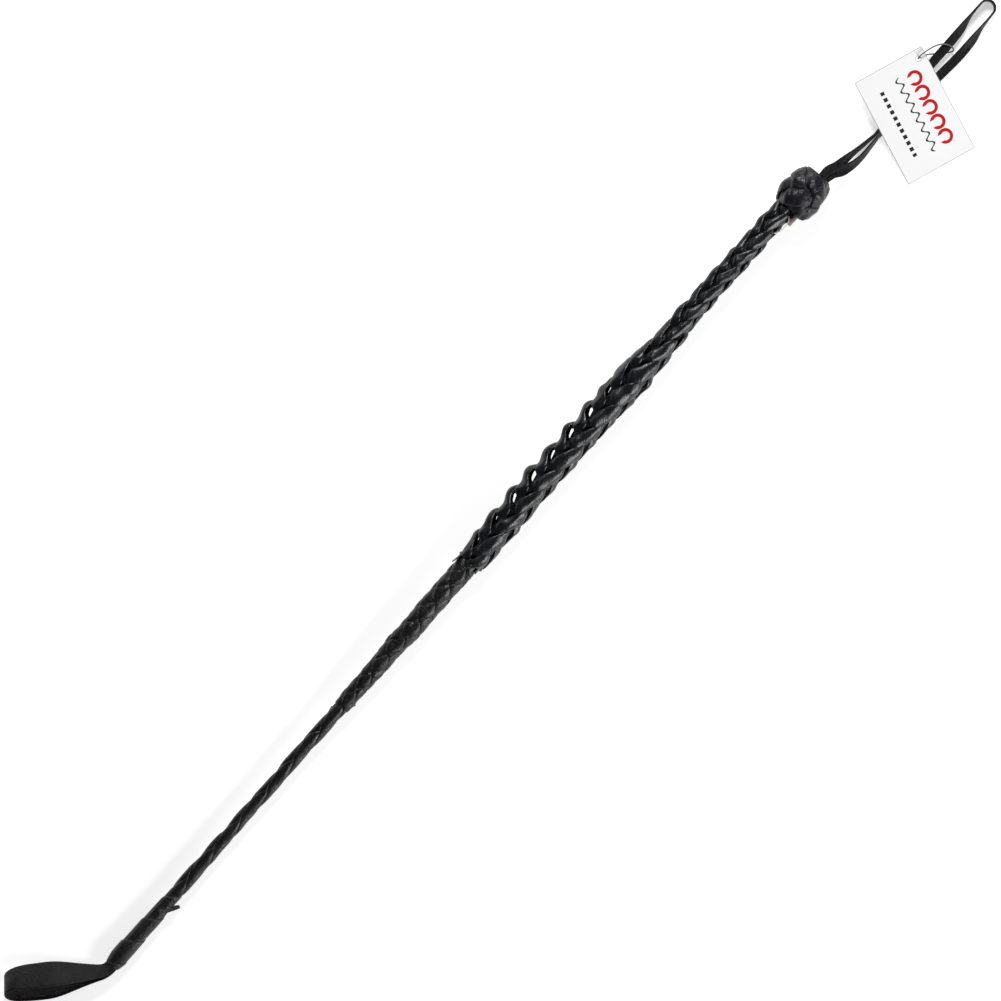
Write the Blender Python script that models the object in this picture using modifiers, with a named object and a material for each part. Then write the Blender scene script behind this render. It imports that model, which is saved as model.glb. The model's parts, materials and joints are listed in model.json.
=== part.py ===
"""Riding crop: a tapered rod under plaited leather laces, a folded keeper, a butt knot, a wrist loop, a tag.

Everything on the shaft is modelled in the shaft's own frame: +Z runs from the keeper's root to the butt,
+Y is sideways, and -X is up. An empty lays that frame on the table, with the tip lower than the knot.
"""

import math

import bmesh
import bpy
from mathutils import Matrix, Vector

# ---- shaft, lengths along it (metres) ----
TIP_WRAP_LENGTH = 0.064
THIN_PLAIT_LENGTH = 0.164
MIDDLE_PLAIT_LENGTH = 0.128
GRIP_LENGTH = 0.178
GRIP_SHOULDER_LENGTH = 0.027
HANDLE_LENGTH = 0.106
KNOT_LENGTH = 0.033
GAP = 0.0003
LACE_END_GAP = 0.0006

# ---- shaft, radii ----
ROD_TIP_RADIUS = 0.0015
ROD_BUTT_RADIUS = 0.0030
ROD_TAPER_LENGTH = 0.250
TIP_WRAP_MOUTH_RADIUS = 0.0062
TIP_WRAP_END_RADIUS = 0.0050
TIP_WRAP_BORE = 0.0044
TIP_WRAP_EDGE = 0.0005
TIP_WRAP_LIP_LENGTH = 0.004
THIN_ENDS_RADIUS = 0.0034
THIN_WAIST_RADIUS = 0.0028
THIN_WAIST_SHARE = 0.4
MIDDLE_START_RADIUS = 0.0047
MIDDLE_END_RADIUS = 0.0067
MIDDLE_FULL_SHARE = 0.65
GRIP_RADIUS = 0.0083
GRIP_BELLY_RADIUS = 0.0098
GRIP_BELLY_SHARE = 0.88
GRIP_SWELL_SHARE = 0.20
HANDLE_RADIUS = 0.0058
HANDLE_START_RADIUS = 0.0064
HANDLE_EASE_LENGTH = 0.020
KNOT_RADIUS = 0.0162
TURNED_STEPS = 20

# ---- laces: thickness, over-and-under swing, share of their spacing that they fill ----
THIN_LACE = 0.0006
MIDDLE_LACE = 0.0009
GRIP_LACE = 0.0010
THIN_SWING = 0.0006
MIDDLE_SWING = 0.00085
GRIP_SWING = 0.0009
LACE_FILL = 0.33
MIDDLE_FILLER_CLEARANCE = 0.0011
GRIP_FILLER_CLEARANCE = 0.0010
THIN_PITCH = 0.052
MIDDLE_PITCH = 0.0462
GRIP_PITCH = 0.0752
HANDLE_PITCH = 0.0628
THIN_PAIRS = 2
MIDDLE_PAIRS = 3
GRIP_PAIRS = 4

# ---- keeper ----
STRAP_THICKNESS = 0.0014
KEEPER_WIDTH = 0.021
KEEPER_ROOT_WIDTH = 0.0080
KEEPER_TAIL_WIDTH = 0.0050
KEEPER_TAIL_DEPTH = 0.026
KEEPER_LENGTH = 0.072
KEEPER_FOLD_RADIUS = 0.0062
KEEPER_FOLD_DEPTH = 0.0095
KEEPER_PINCH = 0.00095
KEEPER_TURN = math.radians(41.0)
KEEPER_TURN_LENGTH = 0.012
KEEPER_SPREAD_LENGTH = 0.042
KEEPER_LEAN = math.radians(45.0)
KEEPER_RISE = 0.0073
KEEPER_RISE_SHARE = 0.6
KEEPER_OPENING_LENGTH = 0.046
KEEPER_HINGE_OFFSET = 0.0016
HINGE_CLEARANCE = 0.0020
LOOP_HINGE_CLEARANCE = 0.0031
TAIL_CLEARANCE = 0.003

# ---- knot ----
KNOT_LACE = 0.0012
KNOT_SWING = 0.0011
KNOT_LACE_WIDTH = 0.0070
KNOT_DIVE = 1.7
KNOT_CORE_CLEARANCE = 0.0006
KNOT_BIGHTS = 4
KNOT_LEADS = 3
KNOT_OFFSET = -0.0030
KNOT_END_DROP = 0.0036
RAW_END_LENGTH = 0.0060
RAW_END_SIZE = 0.0040
RAW_END_LIFT = 0.0010

# ---- wrist loop: a flat lace, stations from the hinge (x, y, height, lean) ----
LOOP_WIDTH = 0.0063
LOOP_THICKNESS = 0.0012
LOOP_HINGE_OFFSET = 0.0024
LOOP_EXIT_HEIGHT = 0.0140
LOOP_TAIL_DEPTH = 0.0100
LOOP_TAIL_WIDTH = 0.0050
LOOP_TAIL_Y = (-0.0050, -0.0086)
LOOP_TAIL_SPLIT = 0.0008
LOOP_LENGTH = 0.1596
LOOP_BEND_RADIUS = 0.0053
LOOP_BEND_Y = -0.0127
EDGE_ON_HEIGHT = 0.0035
LOOP_NEAR_LEG = (
    (0.010, -0.0078, 0.0104, 8), (0.023, -0.0100, 0.0046, 56), (0.039, -0.0124, 0.0036, 74),
    (0.046, -0.0128, 0.0035, 74), (0.075, -0.0110, 0.0034, 30), (0.100, -0.0097, 0.0036, 10),
    (0.120, -0.0095, 0.0036, 8), (0.132, -0.0090, 0.0035, 35), (0.143, -0.0078, 0.0035, 76),
)
LOOP_FAR_LEG = (
    (0.010, -0.0130, 0.0086, 8), (0.023, -0.0160, 0.0042, 52), (0.039, -0.0156, 0.0036, 72),
    (0.046, -0.0156, 0.0035, 74), (0.075, -0.0176, 0.0028, 30), (0.100, -0.0188, 0.0020, 8),
    (0.116, -0.0198, 0.0018, 5), (0.130, -0.0198, 0.0026, 28), (0.142, -0.0186, 0.0034, 72),
)

# ---- hang tag and its string ----
TAG_WIDTH = 0.0508
TAG_HEIGHT = 0.0762
TAG_THICKNESS = 0.0006
TAG_HOLE_RADIUS = 0.0016
TAG_HOLE_INSET = (0.0058, 0.0065)
TAG_TURN = math.radians(-19.4)
TAG_LEAN = math.radians(7.2)
TAG_CENTRE = (0.0690, -0.0240)
TAG_LOW_EDGE_HEIGHT = 0.0007
STRING_RADIUS = 0.0005
TAG_PIVOT = (0.1188, -0.0096)
STRING_ROUTE = (
    (0.0983, -0.0007, 0.0096), (0.0995, -0.0004, 0.0108), (0.1030, -0.0010, 0.0115),
    (0.1085, -0.0024, 0.0098), (0.1140, -0.0046, 0.0074), (0.1180, -0.0082, 0.0058),
    (0.1192, -0.0120, 0.0050), (0.1188, -0.0146, 0.0034), (0.1172, -0.0142, 0.0014),
    (0.1140, -0.0115, 0.0008), (0.1100, -0.0078, 0.0008), (0.1060, -0.0042, 0.0022),
    (0.1020, -0.0018, 0.0046), (0.0988, -0.0009, 0.0072), (0.0979, -0.0007, 0.0084),
)

# ---- stations along the shaft ----
THIN_START = TIP_WRAP_LENGTH
MIDDLE_START = THIN_START + THIN_PLAIT_LENGTH
GRIP_START = MIDDLE_START + MIDDLE_PLAIT_LENGTH
GRIP_END = GRIP_START + GRIP_LENGTH
HANDLE_START = GRIP_END + GRIP_SHOULDER_LENGTH
KNOT_START = HANDLE_START + HANDLE_LENGTH
KNOT_END = KNOT_START + KNOT_LENGTH
KNOT_MIDDLE = KNOT_START + KNOT_LENGTH / 2
ROD_START = 0.008
ROD_END = KNOT_END - LOOP_TAIL_DEPTH - TAIL_CLEARANCE
SHAFT_TILT = math.asin((KNOT_RADIUS - TIP_WRAP_MOUTH_RADIUS) / KNOT_MIDDLE)
UP = -1


def clear_scene():
    for item in list(bpy.data.objects):
        bpy.data.objects.remove(item, do_unlink=True)


def new_collection(name):
    made = bpy.data.collections.new(name)
    bpy.context.scene.collection.children.link(made)
    return made


def principled(name, colour, roughness, metallic=0.0):
    material = bpy.data.materials.new(name)
    material.use_nodes = True
    shader = material.node_tree.nodes["Principled BSDF"]
    shader.inputs["Base Color"].default_value = (*colour, 1.0)
    shader.inputs["Roughness"].default_value = roughness
    shader.inputs["Metallic"].default_value = metallic
    return material


def smooth(value):
    held = min(max(value, 0.0), 1.0)
    return held * held * (3 - 2 * held)


def along(stations, place):
    """A value that eases from one (place, value) station to the next."""
    for (start, low), (end, high) in zip(stations, stations[1:]):
        if place <= end:
            return low + (high - low) * smooth((place - start) / (end - start))
    return stations[-1][1]


def add_object(name, mesh, material, parent=None):
    made = bpy.data.objects.new(name, mesh)
    made.data.materials.append(material)
    parts.objects.link(made)
    made.parent = parent
    return made


def shade_round(mesh):
    mesh.shade_smooth()
    mesh.set_sharp_from_angle(angle=math.radians(50))


def turned(name, profile, material, parent):
    """A profile of (radius, station) points, down its outer side first, turned about the shaft's axis."""
    mesh = bpy.data.meshes.new(name)
    shape = bmesh.new()
    corners = [shape.verts.new((radius, 0, place)) for radius, place in profile]
    loop = corners if profile[0][0] == 0 else corners + corners[:1]
    for first, second in zip(loop, loop[1:]):
        shape.edges.new((first, second))
    shape.to_mesh(mesh)
    shape.free()
    made = add_object(name, mesh, material, parent)
    screw = made.modifiers.new("turn", "SCREW")
    screw.steps = TURNED_STEPS
    screw.render_steps = TURNED_STEPS
    screw.use_merge_vertices = True
    screw.merge_threshold = 0.00001
    screw.use_normal_calculate = False
    return made


def band(name, rows, columns, place, thickness, material, parent, closed=False):
    """A strip of leather: a flat grid laid on place(row, across), with its thickness to both sides."""
    shape = bmesh.new()
    bmesh.ops.create_grid(shape, x_segments=rows, y_segments=columns, size=0.5)
    for corner in shape.verts:
        row = round((corner.co.x + 0.5) * rows)
        across = round((corner.co.y + 0.5) * columns) / columns * 2 - 1
        corner.co = place(row, across)
    if closed:
        bmesh.ops.remove_doubles(shape, verts=shape.verts[:], dist=0.00001)
    mesh = bpy.data.meshes.new(name)
    shape.to_mesh(mesh)
    shape.free()
    shade_round(mesh)
    made = add_object(name, mesh, material, parent)
    solid = made.modifiers.new("thickness", "SOLIDIFY")
    solid.thickness = thickness
    solid.offset = 0.0
    return made


# ---- the plaits ----
def diamond(right, left):
    return 1 if (left - right) % 2 == 0 else -1


def herringbone(right, left):
    return 1 if (left + right) % 4 in (0, 1) else -1


def swing_at(place, over):
    """Out or in, held flat where a lace crosses another, and sloping between two crossings."""
    crossing = math.floor(place)
    share = (place - crossing - LACE_FILL) / (1 - 2 * LACE_FILL)
    share = min(max(share, 0.0), 1.0)
    return over(crossing) + (over(crossing + 1) - over(crossing)) * share


def plait(name, start, end, pairs, turn_at, station_at, radius_at, weave, swing, thickness, columns, steps):
    """Laces of both hands on one tapered cylinder.

    Right-hand laces sit at whole numbers of one count round and along the shaft, and left-hand laces at
    whole numbers of the other, so each crossing is a pair of whole numbers.
    """
    bottom = start + LACE_END_GAP
    top = end - LACE_END_GAP
    first_turn = 2 * pairs * turn_at(bottom)
    last_turn = 2 * pairs * turn_at(top)

    def spot(right, left, out):
        angle = math.pi * (right + left) / pairs
        place = station_at((left - right) / (2 * pairs))
        place = min(max(place, bottom), top)
        radius = radius_at(place) + out
        return Vector((radius * math.cos(angle), radius * math.sin(angle), place))

    for hand in (1, -1):
        for index in range(pairs):
            low = index + hand * first_turn - LACE_FILL
            high = index + hand * last_turn + LACE_FILL
            if hand < 0:
                low, high = index - last_turn - LACE_FILL, index - first_turn + LACE_FILL
            rows = [low]
            for crossing in range(math.ceil(low - 1), math.floor(high + 1) + 1):
                for step in range(steps + 1):
                    place = crossing - LACE_FILL + 2 * LACE_FILL * step / steps
                    if low + 0.06 < place < high - 0.06:
                        rows.append(place)
            rows.append(high)

            def place(row, across, index=index, hand=hand, rows=rows):
                own = index + across * LACE_FILL
                other = rows[row]
                if hand > 0:
                    out = swing * swing_at(other, lambda cross: weave(index, cross))
                    return spot(own, other, out)
                out = -swing * swing_at(other, lambda cross: weave(cross, index))
                return spot(other, own, out)

            number = index + 1 + (pairs if hand < 0 else 0)
            band(f"{name}_lace_{number}", len(rows) - 1, columns, place, thickness, black_lace, shaft)


def steady(pitch, start):
    return (lambda place: (place - start) / pitch), (lambda turn: start + turn * pitch)


def two_pitches(first, second, start, change):
    turns = (change - start) / first

    def turn_at(place):
        return (place - start) / first if place < change else turns + (place - change) / second

    def station_at(turn):
        return start + turn * first if turn < turns else change + (turn - turns) * second

    return turn_at, station_at


def thin_radius(place):
    middle = THIN_START + THIN_PLAIT_LENGTH * THIN_WAIST_SHARE
    return along(((THIN_START, THIN_ENDS_RADIUS), (middle, THIN_WAIST_RADIUS),
                  (MIDDLE_START, THIN_ENDS_RADIUS)), place)


def middle_radius(place):
    full = MIDDLE_START + MIDDLE_PLAIT_LENGTH * MIDDLE_FULL_SHARE
    return along(((MIDDLE_START, MIDDLE_START_RADIUS), (full, MIDDLE_END_RADIUS),
                  (GRIP_START, MIDDLE_END_RADIUS)), place)


def grip_radius(place):
    belly = GRIP_START + GRIP_LENGTH * GRIP_BELLY_SHARE
    return along(((GRIP_START, GRIP_RADIUS), (belly - GRIP_LENGTH * GRIP_SWELL_SHARE, GRIP_RADIUS),
                  (belly, GRIP_BELLY_RADIUS), (HANDLE_START, HANDLE_START_RADIUS),
                  (HANDLE_START + HANDLE_EASE_LENGTH, HANDLE_RADIUS), (KNOT_START, HANDLE_RADIUS)), place)


def add_plaits():
    turn_at, station_at = steady(THIN_PITCH, THIN_START)
    plait("thin", THIN_START, MIDDLE_START, THIN_PAIRS, turn_at, station_at, thin_radius, diamond,
          THIN_SWING, THIN_LACE, 3, 2)
    turn_at, station_at = steady(MIDDLE_PITCH, MIDDLE_START)
    plait("middle", MIDDLE_START, GRIP_START, MIDDLE_PAIRS, turn_at, station_at, middle_radius, diamond,
          MIDDLE_SWING, MIDDLE_LACE, 2, 1)
    turn_at, station_at = two_pitches(GRIP_PITCH, HANDLE_PITCH, GRIP_START, HANDLE_START)
    plait("grip", GRIP_START, KNOT_START, GRIP_PAIRS, turn_at, station_at, grip_radius, herringbone,
          GRIP_SWING, GRIP_LACE, 2, 1)


def rod_radius(place):
    taper = smooth((place - MIDDLE_START) / ROD_TAPER_LENGTH)
    return ROD_TIP_RADIUS + (ROD_BUTT_RADIUS - ROD_TIP_RADIUS) * taper


def add_rod():
    steps = 3
    taper = [MIDDLE_START + ROD_TAPER_LENGTH * step / steps for step in range(steps + 1)]
    places = [ROD_START, *taper, ROD_END]
    side = [(rod_radius(place), place) for place in reversed(places)]
    turned("core_rod", [(0, ROD_END), *side, (0, ROD_START)], grey_rod, shaft)


def add_filler(name, start, end, radius_at, swing, thickness, clearance, steps):
    """The build-up between the rod and the inner side of a plait."""
    places = [start + (end - start) * step / steps for step in range(steps + 1)]
    under = swing + thickness / 2 + clearance
    outer = [(radius_at(place) - under, place) for place in reversed(places)]
    inner = [(rod_radius(place) + GAP, place) for place in places]
    turned(name, outer + inner, brown_filler, shaft)


def add_tip_wrap():
    bore_end = KEEPER_TAIL_DEPTH + TAIL_CLEARANCE
    length = TIP_WRAP_LENGTH
    lip = TIP_WRAP_LIP_LENGTH
    profile = (
        (TIP_WRAP_END_RADIUS - TIP_WRAP_EDGE, length), (TIP_WRAP_END_RADIUS, length - lip),
        (TIP_WRAP_END_RADIUS, length / 2), (TIP_WRAP_MOUTH_RADIUS, lip),
        (TIP_WRAP_MOUTH_RADIUS - TIP_WRAP_EDGE, 0), (TIP_WRAP_BORE, 0), (TIP_WRAP_BORE, bore_end),
        (ROD_TIP_RADIUS + GAP, bore_end + lip / 2), (ROD_TIP_RADIUS + GAP, length),
    )
    turned("tip_wrap", profile, black_wrap, shaft)


# ---- the keeper: a strap folded into a loop ----
def keeper_frame(distance):
    """Centre, heading, gap direction and width direction at a distance from the wrap's mouth."""
    steps = 24
    point = Vector((0.0, 0.0, 0.0))
    for step in range(steps):
        part = distance * (step + 0.5) / steps
        turn = KEEPER_TURN * smooth(part / KEEPER_TURN_LENGTH)
        point += Vector((-math.cos(turn), math.sin(turn), 0.0)) * distance / steps
    turn = KEEPER_TURN * smooth(distance / KEEPER_TURN_LENGTH)
    point.z = TIP_WRAP_MOUTH_RADIUS + KEEPER_RISE * smooth(distance / (KEEPER_LENGTH * KEEPER_RISE_SHARE))
    side = Vector((math.sin(turn), math.cos(turn), 0.0))
    gap_way = side * math.sin(KEEPER_LEAN) + Vector((0, 0, math.cos(KEEPER_LEAN)))
    width_way = -side * math.cos(KEEPER_LEAN) + Vector((0, 0, math.sin(KEEPER_LEAN)))
    return point, gap_way, width_way


def keeper_gap(distance):
    opened = smooth((distance - KEEPER_HINGE_OFFSET) / KEEPER_OPENING_LENGTH)
    return KEEPER_PINCH + (KEEPER_FOLD_RADIUS - KEEPER_PINCH) * opened


def keeper_width(distance):
    wide = smooth((distance - KEEPER_HINGE_OFFSET) / KEEPER_SPREAD_LENGTH)
    return KEEPER_ROOT_WIDTH + (KEEPER_WIDTH - KEEPER_ROOT_WIDTH) * wide


def add_keeper():
    leg_steps = 14
    fold_steps = 8
    leg_start = KEEPER_HINGE_OFFSET + HINGE_CLEARANCE
    leg_end = KEEPER_LENGTH - KEEPER_FOLD_DEPTH
    path = []
    for step in range(leg_steps + 1):
        distance = leg_start + (leg_end - leg_start) * step / leg_steps
        path.append((distance, keeper_gap(distance)))
    for step in range(1, fold_steps):
        angle = math.pi * step / fold_steps
        path.append((leg_end + KEEPER_FOLD_DEPTH * math.sin(angle), KEEPER_FOLD_RADIUS * math.cos(angle)))
    path += [(distance, -gap) for distance, gap in reversed(path[:leg_steps + 1])]

    def place(row, across):
        distance, gap = path[row]
        centre, gap_way, width_way = keeper_frame(distance)
        spot = centre + gap_way * gap + width_way * across * keeper_width(distance) / 2
        return spot - keeper_pivot.location

    band("keeper", len(path) - 1, 2, place, STRAP_THICKNESS, black_strap, keeper_pivot)


def add_keeper_tails():
    """The strap's two ends, bound under the tip wrap on either side of the rod."""
    seat = ROD_TIP_RADIUS + GAP + STRAP_THICKNESS / 2
    rows = (-KEEPER_HINGE_OFFSET + GAP, ROD_START / 2, ROD_START, 2 * ROD_START, KEEPER_TAIL_DEPTH)
    for number, side in ((1, 1), (2, -1)):

        def place(row, across, side=side):
            station = rows[row]
            gap = KEEPER_PINCH + (seat - KEEPER_PINCH) * smooth(station / (ROD_START - 2 * GAP))
            width = KEEPER_TAIL_WIDTH
            lean = KEEPER_LEAN
            gap_way = Vector((UP * math.cos(lean), math.sin(lean), 0))
            width_way = Vector((UP * math.sin(lean), -math.cos(lean), 0))
            return gap_way * gap * side + width_way * across * width / 2 + Vector((0, 0, station))

        band(f"keeper_tail_{number}", len(rows) - 1, 1, place, STRAP_THICKNESS, black_strap, shaft)


# ---- the butt knot ----
def knot_surface(place):
    """Middle radius of the knot's lace at a distance along the shaft from the knot's middle."""
    share = abs(place) / (KNOT_LENGTH / 2)
    return KNOT_RADIUS - KNOT_SWING - KNOT_LACE / 2 - KNOT_END_DROP * share ** 2.5


def add_knot():
    reach = (KNOT_LENGTH - KNOT_LACE_WIDTH) / 2 - GAP
    rows = 18 * KNOT_BIGHTS

    def centre(share):
        phase = 2 * math.pi * KNOT_BIGHTS * share
        return 2 * math.pi * KNOT_LEADS * share, reach * math.cos(phase), phase

    def place(row, across):
        share = row / rows
        angle, station, phase = centre(share)
        ahead, station_ahead, _ = centre(share + 0.001)
        radius = knot_surface(station)
        run = Vector((station_ahead - station, radius * (ahead - angle)))
        run.normalize()
        shift = across * KNOT_LACE_WIDTH / 2
        station -= run.y * shift
        angle += run.x * shift / radius
        swing = min(max(KNOT_DIVE * math.sin(2 * phase), -1), 1) * KNOT_SWING
        out = knot_surface(station) + swing
        return Vector((out * math.cos(angle), out * math.sin(angle) + KNOT_OFFSET, station + KNOT_MIDDLE))

    band("knot_lace", rows, 2, place, KNOT_LACE, black_knot, shaft, closed=True)

    inner = KNOT_SWING + KNOT_LACE / 2 + KNOT_CORE_CLEARANCE
    half = KNOT_LENGTH / 2 - KNOT_LACE - GAP
    places = [half * (1 - step / 5) for step in range(11)]
    profile = [(0, half)] + [(knot_surface(place) - inner, place) for place in places] + [(0, -half)]
    core = turned("knot_core", profile, brown_filler, shaft)
    core.location = (0, KNOT_OFFSET, KNOT_MIDDLE)
    bore_start = KNOT_START - LOOP_TAIL_DEPTH
    rod_bore = cylinder_cutter("rod_bore", ROD_BUTT_RADIUS + GAP, ROD_END + GAP - bore_start)
    rod_bore.location = (0, 0, (ROD_END + GAP + bore_start) / 2)
    cut(core, rod_bore)
    slot_low = min(LOOP_TAIL_Y) - LOOP_TAIL_WIDTH / 2 - 2 * GAP
    slot_high = max(LOOP_TAIL_Y) + LOOP_TAIL_WIDTH / 2 + 2 * GAP
    slot_half = LOOP_TAIL_SPLIT + LOOP_THICKNESS / 2 + 2 * GAP
    slot = box_cutter("loop_slot", (2 * slot_half, slot_high - slot_low, 2 * LOOP_TAIL_DEPTH))
    slot.location = (tail_depth_below_axis(), (slot_low + slot_high) / 2, KNOT_END)
    cut(core, slot)


def tail_depth_below_axis():
    """How far below the shaft's axis the loop's tails leave the knot, as local X."""
    return height_of_axis(KNOT_END) - LOOP_EXIT_HEIGHT


def height_of_axis(station):
    return TIP_WRAP_MOUTH_RADIUS + station * math.sin(SHAFT_TILT)


def cylinder_cutter(name, radius, length):
    shape = bmesh.new()
    bmesh.ops.create_cone(shape, cap_ends=True, segments=16, radius1=radius, radius2=radius, depth=length)
    return add_cutter(name, shape)


def box_cutter(name, sides):
    shape = bmesh.new()
    bmesh.ops.create_cube(shape, size=1)
    bmesh.ops.scale(shape, vec=sides, verts=shape.verts[:])
    return add_cutter(name, shape)


def add_cutter(name, shape):
    mesh = bpy.data.meshes.new(name)
    shape.to_mesh(mesh)
    shape.free()
    made = bpy.data.objects.new(name, mesh)
    cutters.objects.link(made)
    made.parent = shaft
    made.hide_render = True
    made.display_type = "WIRE"
    return made


def cut(target, cutter):
    boolean = target.modifiers.new(cutter.name, "BOOLEAN")
    boolean.operation = "DIFFERENCE"
    boolean.object = cutter


def add_raw_end():
    """The pale end of a lace, rolled and left showing where it goes under the knot."""
    shape = bmesh.new()
    bmesh.ops.create_cube(shape, size=1)
    sides = (RAW_END_SIZE, RAW_END_SIZE, RAW_END_LENGTH)
    bmesh.ops.scale(shape, vec=sides, verts=shape.verts[:])
    bmesh.ops.bevel(shape, geom=shape.edges[:], offset=RAW_END_SIZE * 0.25, segments=2, affect="EDGES",
                    profile=0.5)
    mesh = bpy.data.meshes.new("raw_lace_end")
    shape.to_mesh(mesh)
    shape.free()
    shade_round(mesh)
    made = add_object("raw_lace_end", mesh, pale_leather, shaft)
    side = HANDLE_RADIUS + GRIP_SWING + GRIP_LACE / 2 + GAP + RAW_END_SIZE / 2
    made.location = (UP * RAW_END_LIFT, -side, KNOT_START - RAW_END_LENGTH / 2 - GAP)


# ---- the wrist loop ----
def curve_through(points, count):
    """Points spread evenly along a Catmull-Rom curve through the given ones."""
    points = [Vector(point) for point in points]
    padded = [2 * points[0] - points[1], *points, 2 * points[-1] - points[-2]]
    fine = []
    for a, b, c, d in zip(padded, padded[1:], padded[2:], padded[3:]):
        for step in range(24):
            t = step / 24
            fine.append(0.5 * (2 * b + (c - a) * t + (2 * a - 5 * b + 4 * c - d) * t ** 2
                               + (3 * b - a - 3 * c + d) * t ** 3))
    fine.append(points[-1])
    lengths = [0.0]
    for first, second in zip(fine, fine[1:]):
        lengths.append(lengths[-1] + (second - first).to_3d().length)
    spread = []
    at = 0
    for step in range(count):
        wanted = lengths[-1] * step / (count - 1)
        while at < len(fine) - 2 and lengths[at + 1] < wanted:
            at += 1
        part = (wanted - lengths[at]) / (lengths[at + 1] - lengths[at])
        spread.append(fine[at].lerp(fine[at + 1], min(part, 1.0)))
    return spread


def add_wrist_loop():
    """One lace from the knot, out along one leg, round the far bend and back along the other."""
    near_exit = (LOOP_HINGE_CLEARANCE, LOOP_TAIL_Y[0], LOOP_EXIT_HEIGHT + LOOP_TAIL_SPLIT, 0)
    far_exit = (LOOP_HINGE_CLEARANCE, LOOP_TAIL_Y[1], LOOP_EXIT_HEIGHT - LOOP_TAIL_SPLIT, 0)
    bend = []
    for step in range(7):
        angle = math.pi / 2 - math.pi * step / 6
        x = LOOP_LENGTH - LOOP_BEND_RADIUS + LOOP_BEND_RADIUS * math.cos(angle)
        bend.append((x, LOOP_BEND_Y + LOOP_BEND_RADIUS * math.sin(angle), EDGE_ON_HEIGHT, 90))
    far = [(x, y, z, 180 - lean) for x, y, z, lean in (far_exit, *LOOP_FAR_LEG)]
    route = [near_exit, *LOOP_NEAR_LEG, *bend, *reversed(far)]
    stations = [Vector((*point[:3], math.radians(point[3]) * 0.001)) for point in route]
    path = curve_through(stations, 56)

    def place(row, across):
        here = path[row]
        ahead = path[min(row + 1, len(path) - 1)]
        behind = path[max(row - 1, 0)]
        run = (ahead.to_3d() - behind.to_3d()).normalized()
        level = Vector((-run.y, run.x, 0)).normalized()
        rise = run.cross(level)
        lean = here.w / 0.001
        way = level * math.cos(lean) + rise * math.sin(lean)
        point = here.to_3d() + way * across * LOOP_WIDTH / 2
        return point - Vector((0, 0, LOOP_EXIT_HEIGHT))

    band("wrist_loop", len(path) - 1, 1, place, LOOP_THICKNESS, black_strap, loop_pivot)


def add_loop_tails():
    ends = (KNOT_END - LOOP_TAIL_DEPTH + 2 * GAP, KNOT_END + LOOP_HINGE_OFFSET - GAP)
    for number, (y, side) in enumerate(zip(LOOP_TAIL_Y, (UP, -UP)), start=1):
        shape = bmesh.new()
        bmesh.ops.create_cube(shape, size=1)
        sides = (LOOP_THICKNESS, LOOP_TAIL_WIDTH, ends[1] - ends[0])
        bmesh.ops.scale(shape, vec=sides, verts=shape.verts[:])
        mesh = bpy.data.meshes.new("wrist_loop_tail")
        shape.to_mesh(mesh)
        shape.free()
        made = add_object(f"wrist_loop_tail_{number}", mesh, black_strap, shaft)
        made.location = (tail_depth_below_axis() + side * LOOP_TAIL_SPLIT, y, (ends[0] + ends[1]) / 2)


# ---- the hang tag ----
def tag_plane_height(y):
    low_y = TAG_CENTRE[1] - TAG_HEIGHT / 2 * math.cos(TAG_TURN) - TAG_WIDTH / 2 * abs(math.sin(TAG_TURN))
    return TAG_LOW_EDGE_HEIGHT + (y - low_y) * math.tan(TAG_LEAN)


def add_tag():
    curve = bpy.data.curves.new("hang_tag", "CURVE")
    curve.dimensions = "2D"
    curve.fill_mode = "BOTH"
    curve.extrude = TAG_THICKNESS / 2
    outline = curve.splines.new("POLY")
    corners = ((-1, -1), (1, -1), (1, 1), (-1, 1))
    outline.points.add(len(corners) - 1)
    for point, (x, y) in zip(outline.points, corners):
        point.co = (x * TAG_WIDTH / 2, y * TAG_HEIGHT / 2, 0, 1)
    outline.use_cyclic_u = True
    hole = curve.splines.new("POLY")
    sides = 12
    hole.points.add(sides - 1)
    hole_x = TAG_WIDTH / 2 - TAG_HOLE_INSET[0]
    hole_y = TAG_HEIGHT / 2 - TAG_HOLE_INSET[1]
    for side, point in enumerate(hole.points):
        angle = 2 * math.pi * side / sides
        point.co = (hole_x + TAG_HOLE_RADIUS * math.cos(angle),
                    hole_y + TAG_HOLE_RADIUS * math.sin(angle), 0, 1)
    hole.use_cyclic_u = True
    made = add_object("hang_tag", curve, white_card, tag_pivot)
    turn = Matrix.Rotation(TAG_TURN, 4, "Z")
    lean = Matrix.Rotation(TAG_LEAN, 4, "X")
    centre = Vector((TAG_CENTRE[0], TAG_CENTRE[1], tag_plane_height(TAG_CENTRE[1]) - LOOP_EXIT_HEIGHT))
    made.matrix_local = Matrix.Translation(centre - tag_pivot.location) @ lean @ turn


def add_string():
    curve = bpy.data.curves.new("tag_string", "CURVE")
    curve.dimensions = "3D"
    curve.bevel_depth = STRING_RADIUS
    curve.bevel_resolution = 2
    curve.use_fill_caps = True
    path = curve_through(STRING_ROUTE, 30)
    spline = curve.splines.new("POLY")
    spline.points.add(len(path) - 1)
    drop = Vector((0, 0, LOOP_EXIT_HEIGHT)) + tag_pivot.location
    for point, place in zip(spline.points, path):
        point.co = (*(place - drop), 1)
    add_object("tag_string", curve, grey_string, tag_pivot)


def add_empty(name, location, parent=None):
    made = bpy.data.objects.new(name, None)
    made.empty_display_size = 0.01
    parts.objects.link(made)
    made.location = location
    made.parent = parent
    return made


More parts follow.
